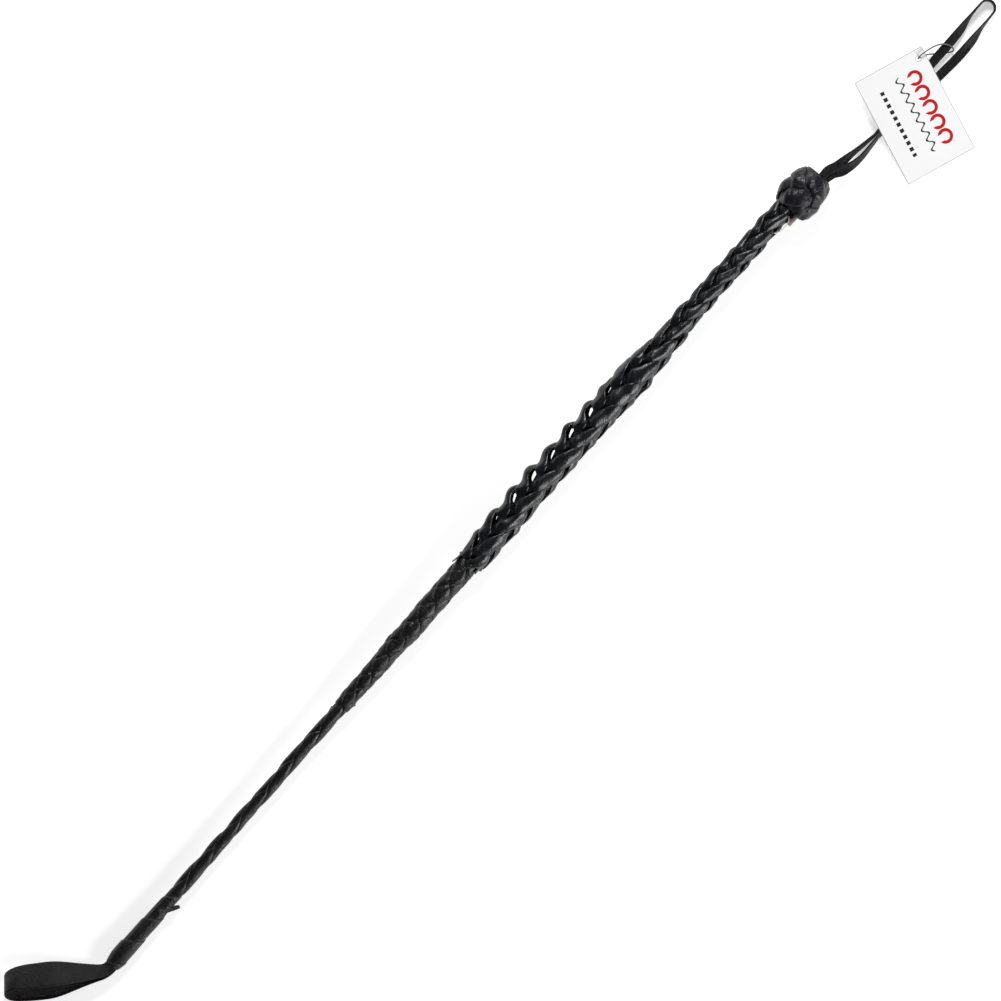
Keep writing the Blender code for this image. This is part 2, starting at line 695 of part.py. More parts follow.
def stand_on_origin():
    """Moves the whole crop so that its footprint is centred on the origin and its lowest point is at zero."""
    bpy.context.view_layer.update()
    graph = bpy.context.evaluated_depsgraph_get()
    spots = []
    for item in parts.objects:
        if item.type == "EMPTY" or item.name == "tag_string":
            continue
        solid = item.evaluated_get(graph)
        spots += [solid.matrix_world @ corner.co for corner in solid.to_mesh().vertices]
        solid.to_mesh_clear()
    low = Vector(map(min, zip(*spots)))
    high = Vector(map(max, zip(*spots)))
    crop.location = (-(low.x + high.x) / 2, -(low.y + high.y) / 2, -low.z)


clear_scene()
parts = new_collection("riding_crop")
cutters = new_collection("cutters")

black_lace = principled("black_lace", (0.012, 0.012, 0.013), 0.38)
black_wrap = principled("black_wrap", (0.020, 0.019, 0.020), 0.50)
black_strap = principled("black_strap", (0.022, 0.021, 0.022), 0.48)
black_knot = principled("black_knot", (0.016, 0.015, 0.018), 0.35)
brown_filler = principled("brown_filler", (0.090, 0.055, 0.035), 0.75)
pale_leather = principled("pale_leather", (0.620, 0.500, 0.370), 0.70)
grey_rod = principled("grey_rod", (0.220, 0.220, 0.210), 0.45)
white_card = principled("white_card", (0.900, 0.900, 0.890), 0.55)
grey_string = principled("grey_string", (0.140, 0.140, 0.150), 0.60)

crop = add_empty("crop_frame", (0, 0, 0))
shaft = add_empty("shaft_frame", (0, 0, TIP_WRAP_MOUTH_RADIUS), crop)
shaft.rotation_euler = (0, math.pi / 2 - SHAFT_TILT, 0)
keeper_pivot = add_empty("keeper_hinge", (-KEEPER_HINGE_OFFSET, 0, TIP_WRAP_MOUTH_RADIUS), crop)
loop_pivot = add_empty(
    "wrist_loop_hinge",
    ((KNOT_END + LOOP_HINGE_OFFSET) * math.cos(SHAFT_TILT), 0, LOOP_EXIT_HEIGHT),
    crop,
)
tag_pivot = add_empty(
    "tag_hinge", (*TAG_PIVOT, tag_plane_height(TAG_PIVOT[1]) - LOOP_EXIT_HEIGHT), loop_pivot
)

add_rod()
add_filler("middle_filler", MIDDLE_START, GRIP_START, middle_radius, MIDDLE_SWING, MIDDLE_LACE,
           MIDDLE_FILLER_CLEARANCE, 4)
add_filler("grip_filler", GRIP_START + GAP, KNOT_START, grip_radius, GRIP_SWING, GRIP_LACE,
           GRIP_FILLER_CLEARANCE, 10)
add_tip_wrap()
add_keeper_tails()
add_keeper()
add_plaits()
add_knot()
add_raw_end()
add_loop_tails()
add_wrist_loop()
add_tag()
add_string()
stand_on_origin()
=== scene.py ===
# %% [markdown]
# # A riding crop, dressed
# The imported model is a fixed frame: rod, fillers, plaits, keeper, knot, wrist loop and tag, each on the body
# that it moves with. This script gives every piece its looks. Most of a crop is strips of leather, so most
# cells lay a strip along a line, crown it, thicken it and round its cut edges.

# %% Load the frame
import json
import math

import bpy
from mathutils import Matrix, Vector, noise

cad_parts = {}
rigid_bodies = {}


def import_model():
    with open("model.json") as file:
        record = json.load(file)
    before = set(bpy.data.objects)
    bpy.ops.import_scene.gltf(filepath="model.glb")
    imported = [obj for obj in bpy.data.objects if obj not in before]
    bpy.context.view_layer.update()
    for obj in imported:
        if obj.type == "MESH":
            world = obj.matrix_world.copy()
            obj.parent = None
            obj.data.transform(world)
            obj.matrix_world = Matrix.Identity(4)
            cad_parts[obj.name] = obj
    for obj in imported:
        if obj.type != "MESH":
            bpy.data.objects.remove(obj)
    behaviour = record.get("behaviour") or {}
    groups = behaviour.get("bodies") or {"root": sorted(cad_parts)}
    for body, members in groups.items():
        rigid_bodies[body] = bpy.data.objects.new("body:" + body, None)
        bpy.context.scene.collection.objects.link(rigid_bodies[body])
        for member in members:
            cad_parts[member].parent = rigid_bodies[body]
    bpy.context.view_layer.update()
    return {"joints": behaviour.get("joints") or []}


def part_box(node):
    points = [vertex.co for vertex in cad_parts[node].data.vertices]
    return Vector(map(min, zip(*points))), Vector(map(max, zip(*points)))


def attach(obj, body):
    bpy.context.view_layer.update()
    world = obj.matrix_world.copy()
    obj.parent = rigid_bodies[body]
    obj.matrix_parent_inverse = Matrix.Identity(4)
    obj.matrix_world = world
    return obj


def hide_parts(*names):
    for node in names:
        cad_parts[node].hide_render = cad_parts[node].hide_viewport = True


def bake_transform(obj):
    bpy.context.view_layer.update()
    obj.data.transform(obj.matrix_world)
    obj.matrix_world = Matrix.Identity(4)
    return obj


for leftover in list(bpy.data.objects):
    bpy.data.objects.remove(leftover, do_unlink=True)
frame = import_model()

# %% [markdown]
# The shaft isn't level: its fat knot lifts the butt off the table. Everything on it is worked out in the
# shaft's own frame, where +Z runs from the keeper to the butt, +Y is sideways and -X is up, and one matrix
# lays that on the table. The keeper's hinge and the knot's core give the matrix.

# %% The shaft's own frame
KEEPER_HINGE_OFFSET = 0.0016
LOOP_HINGE_OFFSET = 0.0024

hinge_at = {joint["name"]: Vector(joint["pos_m"]) for joint in frame["joints"]}
root = hinge_at["keeper_flex"] + Vector((KEEPER_HINGE_OFFSET, 0, 0))
core_low, core_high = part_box("knot_core")
core_middle = (Vector(core_low) + Vector(core_high)) / 2
tilt = math.atan2(core_middle.z - root.z, core_middle.x - root.x)
shaft_frame = Matrix.Translation(root) @ Matrix.Rotation(math.pi / 2 - tilt, 4, "Y")
knot_offset = core_middle.y - root.y
print("root", root, "tilt", round(math.degrees(tilt), 2), "knot offset", round(knot_offset, 4))

# %% Stations along the shaft, in metres from the keeper's root
THIN_START = 0.064
MIDDLE_START = 0.228
GRIP_START = 0.356
GRIP_END = 0.534
HANDLE_START = 0.561
KNOT_START = 0.667
KNOT_END = 0.700
print("shaft", KNOT_END, "m long, grip", round(GRIP_END - GRIP_START, 3), "m")

# %% [markdown]
# ## Camera, light and floor
# The camera comes first, because everything after it is judged through it. It looks straight down through a
# long lens, turned so that the crop runs from the lower left to the upper right. A large soft light low on
# the near side draws the bright edges, a smaller one higher up across from it gives the far facets their grey
# sheen, and nothing bright hangs straight overhead, so the middle of each lace stays dark. The floor glows a
# little, which keeps it pale and its shadows faint.

# %% Camera
VIEW_WIDTH = 0.6607
CAMERA_HEIGHT = 2.6
VIEW_CENTRE = (-0.0003, 0.0206, 0.008)
VIEW_TURN = math.radians(-48.4)

camera_data = bpy.data.cameras.new("camera")
camera = bpy.data.objects.new("camera", camera_data)
bpy.context.scene.collection.objects.link(camera)
camera.location = (VIEW_CENTRE[0], VIEW_CENTRE[1], VIEW_CENTRE[2] + CAMERA_HEIGHT)
camera.rotation_euler = (0, 0, VIEW_TURN)
camera_data.lens = camera_data.sensor_width * CAMERA_HEIGHT / VIEW_WIDTH
bpy.context.scene.camera = camera
print("lens", round(camera_data.lens, 1), "mm")

# %% Soft lights
def soft_light(name, place, aim, size, power):
    data = bpy.data.lights.new(name, "AREA")
    data.shape = "SQUARE"
    data.size = size
    data.energy = power
    light = bpy.data.objects.new(name, data)
    bpy.context.scene.collection.objects.link(light)
    light.location = place
    light.rotation_euler = (Vector(aim) - Vector(place)).to_track_quat("-Z", "Y").to_euler()
    return light


key = soft_light("key", (0.20, -1.40, 0.70), (0.0, 0.0, 0.0), 0.9, 25)
fill = soft_light("fill", (1.15, 0.95, 1.25), (0.1, 0.0, 0.0), 0.6, 26)
world = bpy.data.worlds.new("studio")
bpy.context.scene.world = world
world.use_nodes = True
world.node_tree.nodes["Background"].inputs["Color"].default_value = (1.0, 1.0, 1.0, 1.0)
world.node_tree.nodes["Background"].inputs["Strength"].default_value = 0.09
bpy.context.scene.view_settings.view_transform = "Standard"
print("lights", key.name, fill.name)

# %% Floor
bpy.ops.mesh.primitive_plane_add(size=12, location=(0, 0, -0.0002))
floor = bpy.context.object
floor.name = "floor"
paper = bpy.data.materials.new("pale_paper")
paper.use_nodes = True
for title, value in (("Base Color", (0.93, 0.93, 0.93, 1.0)), ("Roughness", 0.9), ("Specular IOR Level", 0.0),
                     ("Emission Color", (1.0, 1.0, 1.0, 1.0)), ("Emission Strength", 0.51)):
    paper.node_tree.nodes["Principled BSDF"].inputs[title].default_value = value
floor.data.materials.append(paper)
print("floor", floor.dimensions.x, "m")

# %% [markdown]
# ## Finishes
# Black leather is never one colour. It has a fine grain, creases across each lace where it bends, cut edges
# rubbed to grey, and patches where hands have polished it. Each of these is a node group, made once, with
# its size and strength as inputs, and each leather places the groups with its own values.

# %% Helpers for node groups
def new_group(name, inputs, outputs):
    group = bpy.data.node_groups.new(name, "ShaderNodeTree")
    for title, kind, value in inputs:
        socket = group.interface.new_socket(title, in_out="INPUT", socket_type=kind)
        if value is not None:
            socket.default_value = value
    for title, kind in outputs:
        group.interface.new_socket(title, in_out="OUTPUT", socket_type=kind)
    return group, group.nodes.new("NodeGroupInput"), group.nodes.new("NodeGroupOutput")


def math_node(tree, operation, first, second=None, clamp=False):
    node = tree.nodes.new("ShaderNodeMath")
    node.operation = operation
    node.use_clamp = clamp
    for socket, value in zip(node.inputs, (first, second)):
        if value is None:
            continue
        if isinstance(value, (int, float)):
            socket.default_value = value
        else:
            tree.links.new(value, socket)
    return node.outputs[0]


def noise_node(tree, vector, scale, detail=2.0, rough=0.5):
    node = tree.nodes.new("ShaderNodeTexNoise")
    tree.links.new(vector, node.inputs["Vector"])
    node.inputs["Detail"].default_value = detail
    node.inputs["Roughness"].default_value = rough
    if isinstance(scale, (int, float)):
        node.inputs["Scale"].default_value = scale
    else:
        tree.links.new(scale, node.inputs["Scale"])
    return node.outputs["Fac"]


def new_material(name):
    material = bpy.data.materials.new(name)
    material.use_nodes = True
    return material, material.node_tree, material.node_tree.nodes["Principled BSDF"]


def mix(tree, factor, first, second):
    """Two colours mixed, each one a tuple or the output of a node."""
    node = tree.nodes.new("ShaderNodeMix")
    node.data_type = "RGBA"
    tree.links.new(factor, node.inputs["Factor"])
    for title, colour in (("A", first), ("B", second)):
        if isinstance(colour, tuple):
            node.inputs[title].default_value = (*colour, 1.0)
        else:
            tree.links.new(colour, node.inputs[title])
    return node.outputs["Result"]


print("node helpers ready")

# %% Grain: pebbled cells with fine noise over them, and a slow mottle
grain_group, g_in, g_out = new_group(
    "leather_grain",
    (("Vector", "NodeSocketVector", None), ("Cells per metre", "NodeSocketFloat", 900.0)),
    (("Height", "NodeSocketFloat"), ("Mottle", "NodeSocketFloat")),
)
cells = grain_group.nodes.new("ShaderNodeTexVoronoi")
cells.feature = "SMOOTH_F1"
grain_group.links.new(g_in.outputs["Vector"], cells.inputs["Vector"])
grain_group.links.new(g_in.outputs["Cells per metre"], cells.inputs["Scale"])
fine = noise_node(grain_group, g_in.outputs["Vector"],
                  math_node(grain_group, "MULTIPLY", g_in.outputs["Cells per metre"], 1.7), 3.0)
pebbles = math_node(grain_group, "MULTIPLY", cells.outputs["Distance"], 0.6)
grain_group.links.new(math_node(grain_group, "ADD", pebbles, math_node(grain_group, "MULTIPLY", fine, 0.7)),
                      g_out.inputs["Height"])
slow = noise_node(grain_group, g_in.outputs["Vector"],
                  math_node(grain_group, "MULTIPLY", g_in.outputs["Cells per metre"], 0.22), 3.0, 0.6)
grain_group.links.new(slow, g_out.inputs["Mottle"])
print(grain_group.name, len(grain_group.nodes), "nodes")

# %% Creases: noise stretched across the strip, from the strip's own UV map
crease_group, c_in, c_out = new_group(
    "lace_creases",
    (("UV", "NodeSocketVector", None), ("Spacing", "NodeSocketFloat", 260.0)),
    (("Height", "NodeSocketFloat"),),
)
stretch = crease_group.nodes.new("ShaderNodeVectorMath")
stretch.operation = "MULTIPLY"
stretch.inputs[1].default_value = (1.0, 0.006, 1.0)
crease_group.links.new(c_in.outputs["UV"], stretch.inputs[0])
folds = noise_node(crease_group, stretch.outputs[0], c_in.outputs["Spacing"], 2.0, 0.6)
sharp = math_node(crease_group, "POWER", math_node(crease_group, "ABSOLUTE",
                  math_node(crease_group, "SUBTRACT", folds, 0.5)), 0.6)
crease_group.links.new(sharp, c_out.inputs["Height"])
print(crease_group.name, len(crease_group.nodes), "nodes")

# %% Rubbed edges: a mask that grows towards both cut edges of a strip
rub_group, r_in, r_out = new_group(
    "rubbed_edges",
    (("UV", "NodeSocketVector", None), ("Vector", "NodeSocketVector", None),
     ("Reach", "NodeSocketFloat", 0.25)),
    (("Mask", "NodeSocketFloat"),),
)
split = rub_group.nodes.new("ShaderNodeSeparateXYZ")
rub_group.links.new(r_in.outputs["UV"], split.inputs[0])
aside = math_node(rub_group, "MULTIPLY", math_node(
    rub_group, "ABSOLUTE", math_node(rub_group, "SUBTRACT", split.outputs["Y"], 0.5)), 2.0)
start_edge = math_node(rub_group, "SUBTRACT", 1.0, r_in.outputs["Reach"])
share = math_node(rub_group, "DIVIDE", math_node(rub_group, "SUBTRACT", aside, start_edge),
                  r_in.outputs["Reach"], clamp=True)
patchy = math_node(rub_group, "MULTIPLY", math_node(
    rub_group, "SUBTRACT", noise_node(rub_group, r_in.outputs["Vector"], 240.0, 3.0, 0.6), 0.32), 3.0, True)
rub_group.links.new(math_node(rub_group, "MULTIPLY", share, patchy), r_out.inputs["Mask"])
print(rub_group.name, len(rub_group.nodes), "nodes")

# %% One leather from the three groups, and a plain fibre
def add_group(tree, group, **values):
    node = tree.nodes.new("ShaderNodeGroup")
    node.node_tree = group
    for title, value in values.items():
        node.inputs[title.replace("_", " ")].default_value = value
    return node


def leather(name, colour, rubbed, roughness, cells_per_metre, grain_depth, crease_depth, reach, gloss=0.5):
    material, tree, shader = new_material(name)
    links = tree.links
    shader.inputs["Specular IOR Level"].default_value = gloss
    place = tree.nodes.new("ShaderNodeTexCoord")
    grain = add_group(tree, grain_group, Cells_per_metre=cells_per_metre)
    creases = add_group(tree, crease_group)
    rub = add_group(tree, rub_group, Reach=reach)
    links.new(place.outputs["Object"], grain.inputs["Vector"])
    links.new(place.outputs["UV"], creases.inputs["UV"])
    links.new(place.outputs["UV"], rub.inputs["UV"])
    links.new(place.outputs["Object"], rub.inputs["Vector"])

    tone = mix(tree, grain.outputs["Mottle"], colour, tuple(part * 1.8 + 0.002 for part in colour))
    links.new(mix(tree, rub.outputs["Mask"], tone, rubbed), shader.inputs["Base Color"])

    polish = math_node(tree, "MULTIPLY", math_node(tree, "SUBTRACT", grain.outputs["Mottle"], 0.5), 0.5)
    links.new(math_node(tree, "ADD", polish, roughness, True), shader.inputs["Roughness"])
    height = math_node(tree, "ADD", math_node(tree, "MULTIPLY", grain.outputs["Height"], grain_depth),
                       math_node(tree, "MULTIPLY", creases.outputs["Height"], crease_depth))
    height = math_node(tree, "ADD", height,
                       math_node(tree, "MULTIPLY", grain.outputs["Mottle"], grain_depth * 1.5))
    bump = tree.nodes.new("ShaderNodeBump")
    bump.inputs["Distance"].default_value = 0.001
    bump.inputs["Strength"].default_value = 0.8
    links.new(height, bump.inputs["Height"])
    links.new(bump.outputs["Normal"], shader.inputs["Normal"])
    return material


# Base colour, rubbed colour, then roughness, grain cells per metre, grain depth, crease depth, how far the
# rubbing reaches in from an edge, and gloss.
plait_leather = leather("plait_leather", (0.0035, 0.0035, 0.0035), (0.022, 0.022, 0.023),
                        0.37, 700, 0.25, 0.30, 0.18, 0.36)
grip_leather = leather("grip_leather", (0.0030, 0.0034, 0.0052), (0.018, 0.019, 0.024),
                       0.32, 500, 0.14, 0.26, 0.12, 0.44)
wrap_leather = leather("wrap_leather", (0.0040, 0.0040, 0.0040), (0.030, 0.030, 0.031),
                       0.44, 650, 0.45, 0.30, 0.10, 0.40)
strap_leather = leather("strap_leather", (0.0030, 0.0030, 0.0038), (0.020, 0.020, 0.022),
                        0.47, 700, 0.60, 0.15, 0.07, 0.18)
knot_leather = leather("knot_leather", (0.0032, 0.0030, 0.0054), (0.018, 0.017, 0.024),
                       0.38, 320, 0.42, 0.80, 0.12, 0.32)
raw_leather = leather("raw_leather", (0.160, 0.125, 0.105), (0.420, 0.380, 0.350), 0.75, 900, 0.60, 0.60, 0.60)
thread_fibre = leather("thread_fibre", (0.42, 0.41, 0.39), (0.60, 0.60, 0.58), 0.60, 1500, 0.30, 0.0, 0.30)
filler_leather = leather("filler_leather", (0.004, 0.004, 0.004), (0.010, 0.010, 0.010),
                         0.70, 900, 0.40, 0.0, 0.10)


def streaked(name, scale, detail, dark, light, roughness=0.5):
    """A plain fibre, light and dark with noise."""
    material, tree, shader = new_material(name)
    place = tree.nodes.new("ShaderNodeTexCoord")
    ramp = tree.nodes.new("ShaderNodeValToRGB")
    ramp.color_ramp.elements[0].color = dark
    ramp.color_ramp.elements[1].color = light
    tree.links.new(noise_node(tree, place.outputs["Object"], scale, detail), ramp.inputs["Fac"])
    tree.links.new(ramp.outputs["Color"], shader.inputs["Base Color"])
    shader.inputs["Roughness"].default_value = roughness
    return material


print("leathers", [m.name for m in bpy.data.materials if m.name.endswith("leather")])

# %% [markdown]
# ## Strips of leather
# A lace, a strap and a wrap are all the same thing: a long grid bent along a line. The grid operator makes
# the mesh with a UV map. A function then says where each point of the strip goes, which no bend operator
# could do for a plait, and the UV map is stretched to real lengths, so that creases keep their spacing.
# Solidify gives the thickness and one subdivision rounds the cut edges.

# %% Lay a strip
def smooth(value):
    held = min(max(value, 0.0), 1.0)
    return held * held * (3 - 2 * held)


def along(stations, place):
    """A value that eases from one (place, value) station to the next."""
    for (start, low), (end, high) in zip(stations, stations[1:]):
        if place <= end:
            return low + (high - low) * smooth((place - start) / (end - start))
    return stations[-1][1]


def apply_all(piece):
    bpy.ops.object.select_all(action="DESELECT")
    piece.select_set(True)
    bpy.context.view_layer.objects.active = piece
    for modifier in list(piece.modifiers):
        bpy.ops.object.modifier_apply(modifier=modifier.name)
    bpy.ops.object.shade_smooth()


def strip(name, rows, columns, place, thickness, material, body, rounds=1, closed=False):
    """A strip laid on place(row from 0 to 1, across from -1 to 1), with its thickness to both sides."""
    bpy.ops.object.select_all(action="DESELECT")
    bpy.ops.mesh.primitive_grid_add(x_subdivisions=rows, y_subdivisions=columns, size=2)
    piece = bpy.context.object
    piece.name = name
    mesh = piece.data
    for corner in mesh.vertices:
        corner.co = place((corner.co.x + 1) / 2, corner.co.y)
    run = 0.0
    middle = [place(step / 60, 0.0) for step in range(61)]
    for first, second in zip(middle, middle[1:]):
        run += (second - first).length
    for spot in mesh.uv_layers.active.data:
        spot.uv.x *= run
    if closed:
        bpy.ops.object.mode_set(mode="EDIT")
        bpy.ops.mesh.select_all(action="SELECT")
        bpy.ops.mesh.remove_doubles(threshold=0.00002)
        bpy.ops.object.mode_set(mode="OBJECT")
    solid = piece.modifiers.new("thickness", "SOLIDIFY")
    solid.thickness = thickness
    solid.offset = 0.0
    if rounds:
        round_off = piece.modifiers.new("rounded", "SUBSURF")
        round_off.levels = rounds
        round_off.render_levels = rounds
    apply_all(piece)
    mesh.materials.append(material)
    if body:
        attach(piece, body)
    return piece


print("strip ready")

# %% [markdown]
# ## The plaits
# A round plait has laces of both hands. Count right-hand laces one way and left-hand laces the other way,
# and each crossing is a pair of whole numbers: where they meet, one is over and one is under. Between two
# crossings a lace dives, and it is narrower where it dives, so each part that shows is a lens.

# %% The lattice of a plait
def diamond(right, left):
    return 1 if (left - right) % 2 == 0 else -1


def diamond_drift(hand, index, other):
    """How far a lace has run ahead, when it goes straighter over than it does under."""
    return math.sin(math.pi * (other - index - (0 if hand > 0 else 1))) / math.pi


def herringbone(right, left):
    return 1 if (left + right) % 4 in (0, 1) else -1


def herringbone_drift(hand, index, other):
    middle = 0.5 if hand > 0 else 2.5
    return math.sin(math.pi * (other + index - middle) / 2) * 2 / math.pi


def state_at(place, over):
    """From -1, under, to 1, over, held at each crossing and sloping between two."""
    crossing = math.floor(place)
    share = smooth((place - crossing - 0.28) / 0.44)
    return over(crossing) + (over(crossing + 1) - over(crossing)) * share


def wobble(place, seed, size):
    return noise.noise(Vector((place * 90.0, seed * 7.3, 2.1))) * size


def plait(name, start, end, pairs, turn_at, station_at, radius_at, weave, look, material, shift=None,
          opened=None):
    """Lays every lace of one plait. weave is a rule for over and under and one for drift."""
    over_rule, drift_rule = weave
    made = []
    first_turn, last_turn = 2 * pairs * turn_at(start), 2 * pairs * turn_at(end)

    def spot(right, left, out, drift):
        angle = math.pi * (right + left - look["slant"] * drift) / pairs
        place = min(max(station_at((left - right) / (2 * pairs)), start), end)
        radius = radius_at(place) + out
        tucked = 1 - smooth((place - start) / 0.004) + smooth((place - end + 0.004) / 0.004)
        radius -= look["tuck"] * tucked
        point = Vector((radius * math.cos(angle), radius * math.sin(angle), place))
        point.x += wobble(place, 1, look["wander"])
        point.y += wobble(place, 2, look["wander"])
        if shift:
            point += shift(angle, place)
        return shaft_frame @ point

    for hand in (1, -1):
        for index in range(pairs):
            low, high = index + first_turn, index + last_turn
            if hand < 0:
                low, high = index - last_turn, index - first_turn
            low, high = low - 0.4, high + 0.4

            def place(row, across, index=index, hand=hand, low=low, high=high):
                other = low + (high - low) * row
                if hand > 0:
                    state = state_at(other, lambda cross: over_rule(index, cross))
                else:
                    state = state_at(other, lambda cross: -over_rule(cross, index))
                shown = (1 + state) / 2
                wide = look["wide"] * (1 - look["pinch"] * (1 - shown))
                wide *= 1 + noise.noise(Vector((other * 0.9, index * 5.1 + hand, 0.4))) * look["uneven"]
                if opened:
                    edge = index + math.copysign(0.5, across)
                    turn = (other - edge) / (2 * pairs) * hand
                    wide *= 1 - opened(math.pi * (edge + other) / pairs, station_at(turn))
                own = index + across * wide
                out = look["swing"] * state + look["crown"] * (1 - across * across) * (0.4 + 0.6 * shown)
                out -= look["crown"] * 0.4
                out += noise.noise(Vector((other * 1.3, across * 1.2, index * 3.7 + hand))) * look["rough"]
                drift = drift_rule(hand, index, other)
                return spot(own, other, out, drift) if hand > 0 else spot(other, own, out, drift)

            number = index + 1 + (pairs if hand < 0 else 0)
            rows = round((high - low) * look["rows"])
            piece = strip(f"{name}_plait_lace_{number}", rows, look["columns"], place, look["thick"],
                          material, "shaft")
            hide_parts(f"{name}_lace_{number}")
            made.append(piece)
    print(name, len(made), "laces", sum(len(piece.data.polygons) for piece in made), "faces")
    return made


def steady(pitch, start):
    return (lambda place: (place - start) / pitch), (lambda turn: start + turn * pitch)


# %% The thin plait: four laces, a slow diamond
THIN_PITCH = 0.052
THIN_LOOK = dict(wide=0.54, pinch=0.12, swing=0.00045, crown=0.00030, thick=0.0008, rows=9, columns=6,
                 rough=0.00035, wander=0.0006, tuck=0.0002, slant=0.2, uneven=0.16)


def thin_radius(place):
    waist = THIN_START + (MIDDLE_START - THIN_START) * 0.4
    return along(((THIN_START, 0.0041), (waist, 0.0036), (MIDDLE_START, 0.0040)), place)


turn_at, station_at = steady(THIN_PITCH, THIN_START)
plait("thin", THIN_START - 0.001, MIDDLE_START + 0.002, 2, turn_at, station_at, thin_radius,
      (diamond, diamond_drift), THIN_LOOK, plait_leather)

# %% The middle plait: six laces
MIDDLE_PITCH = 0.0462
MIDDLE_LOOK = dict(wide=0.55, pinch=0.10, swing=0.00048, crown=0.00022, thick=0.0010, rows=9, columns=6,
                   rough=0.0006, wander=0.0007, tuck=0.0004, slant=0.15, uneven=0.22)


def middle_radius(place):
    full = MIDDLE_START + (GRIP_START - MIDDLE_START) * 0.65
    return along(((MIDDLE_START, 0.0047), (full, 0.0067), (GRIP_START, 0.0067)), place)


turn_at, station_at = steady(MIDDLE_PITCH, MIDDLE_START)
plait("middle", MIDDLE_START, GRIP_START + 0.002, 3, turn_at, station_at, middle_radius,
      (diamond, diamond_drift), MIDDLE_LOOK, plait_leather)

# %% [markdown]
# The grip's eight laces are laid over two and under two, so each one shows as a long lens nearly in line
# with the shaft. They are pulled up on one side into a row of scallops, with daylight under each. The
# handle goes on with the same laces at a tighter pitch.

# %% The grip and handle: eight laces, herringbone
GRIP_PITCH = 0.0752
HANDLE_PITCH = 0.0628
SCALLOP_SPACING = 0.0188
SCALLOP_START = 0.3703
SCALLOP_HEIGHT = 0.0024
DAYLIGHT = 0.28
SLACK_LACE_STATION = 0.5583
SLACK_LACE = 0.34
GRIP_LOOK = dict(wide=0.46, pinch=0.34, swing=0.0010, crown=0.0009, thick=0.0013, rows=10, columns=6,
                 rough=0.0009, wander=0.0009, tuck=0.0006, slant=0.45, uneven=0.30)


def two_pitches(first, second, start, change):
    turns = (change - start) / first

    def turns_at(place):
        return (place - start) / first if place < change else turns + (place - change) / second

    def place_at(turn):
        return start + turn * first if turn < turns else change + (turn - turns) * second

    return turns_at, place_at


def grip_radius(place):
    belly = GRIP_START + (GRIP_END - GRIP_START) * 0.88
    swell = belly - (GRIP_END - GRIP_START) * 0.2
    return along(((GRIP_START, 0.0083), (swell, 0.0083), (belly, 0.0098), (HANDLE_START, 0.0064),
                  (HANDLE_START + 0.02, 0.0058), (KNOT_START, 0.0058)), place)


def scallop_wave(place, start, end):
    """One wave in each spacing, and none outside two stations."""
    inside = smooth((place - start) / 0.01) * smooth((end - place) / 0.01)
    return inside * (0.5 + 0.5 * math.cos(2 * math.pi * (place - SCALLOP_START) / SCALLOP_SPACING))


def scallops(angle, place):
    """Lifts the laces off the shaft on its far side, once in each spacing."""
    facing = max(math.sin(angle), 0.0) ** 3
    wave = scallop_wave(place, GRIP_START + 0.012, GRIP_END - 0.03)
    return Vector((0, SCALLOP_HEIGHT * wave * facing, 0))


def close_to(angle, *degrees):
    return max(0.0, *(math.cos(angle - math.radians(each)) for each in degrees)) ** 10


def daylight(angle, place):
    """Narrows the laces where a gap shows right through, beside the core, under each scallop."""
    wave = scallop_wave(place, GRIP_START + 0.008, GRIP_END - 0.02)
    uneven = 0.8 + 0.9 * noise.noise(Vector((place * 55, 0.3, 0.9)))
    slack = math.exp(-((place - SLACK_LACE_STATION) / 0.006) ** 2)
    return DAYLIGHT * wave * uneven * close_to(angle, 135, 45) + SLACK_LACE * slack * close_to(angle, 225, 315)


turn_at, station_at = two_pitches(GRIP_PITCH, HANDLE_PITCH, GRIP_START - 0.0045, HANDLE_START)
plait("grip", GRIP_START, KNOT_START + 0.002, 4, turn_at, station_at, grip_radius,
      (herringbone, herringbone_drift), GRIP_LOOK, grip_leather, scallops, daylight)

# %% [markdown]
# ## What is inside
# The rod and the build-up under the plaits only show through gaps. The CAD nodes have the right shape, so
# they stay and get a finish. Under the grip the build-up is slimmer than the CAD's, because daylight has to
# pass beside it, and under the tight handle it is fuller, so a turned core replaces that one.

# %% Turn a tube round the shaft
def turned(name, sides, ends, start, end, steps, radius_at):
    """A tube round the shaft from start to end, cut into even steps that follow radius_at."""
    bpy.ops.object.select_all(action="DESELECT")
    bpy.ops.mesh.primitive_cylinder_add(vertices=sides, radius=1.0, depth=1.0, end_fill_type=ends)
    piece = bpy.context.object
    piece.name = name
    bpy.ops.object.mode_set(mode="EDIT")
    for step in range(1, steps):
        bpy.ops.mesh.select_all(action="SELECT")
        bpy.ops.mesh.bisect(plane_co=(0, 0, step / steps - 0.5), plane_no=(0, 0, 1))
    bpy.ops.object.mode_set(mode="OBJECT")
    for corner in piece.data.vertices:
        place = start + (corner.co.z + 0.5) * (end - start)
        radius = radius_at(place)
        corner.co = shaft_frame @ Vector((corner.co.x * radius, corner.co.y * radius, place))
    return piece


print("turned ready")

# %% Finishes for the rod and fillers
def finish_node(name, material):
    node = bpy.data.objects[name]
    node.data.materials.clear()
    node.data.materials.append(material)


finish_node("core_rod", streaked("rod_fibreglass", 300.0, 3.0, (0.10, 0.10, 0.09, 1.0), (0.26, 0.26, 0.24, 1.0)))
finish_node("middle_filler", filler_leather)
finish_node("knot_core", knot_leather)
print("finished core_rod, middle_filler, knot_core")

# %% The slim core under the grip
GRIP_CORE_CLEARANCE = 0.0041
GRIP_CORE_LEAST = 0.0038
HANDLE_CORE_LEAST = 0.0050


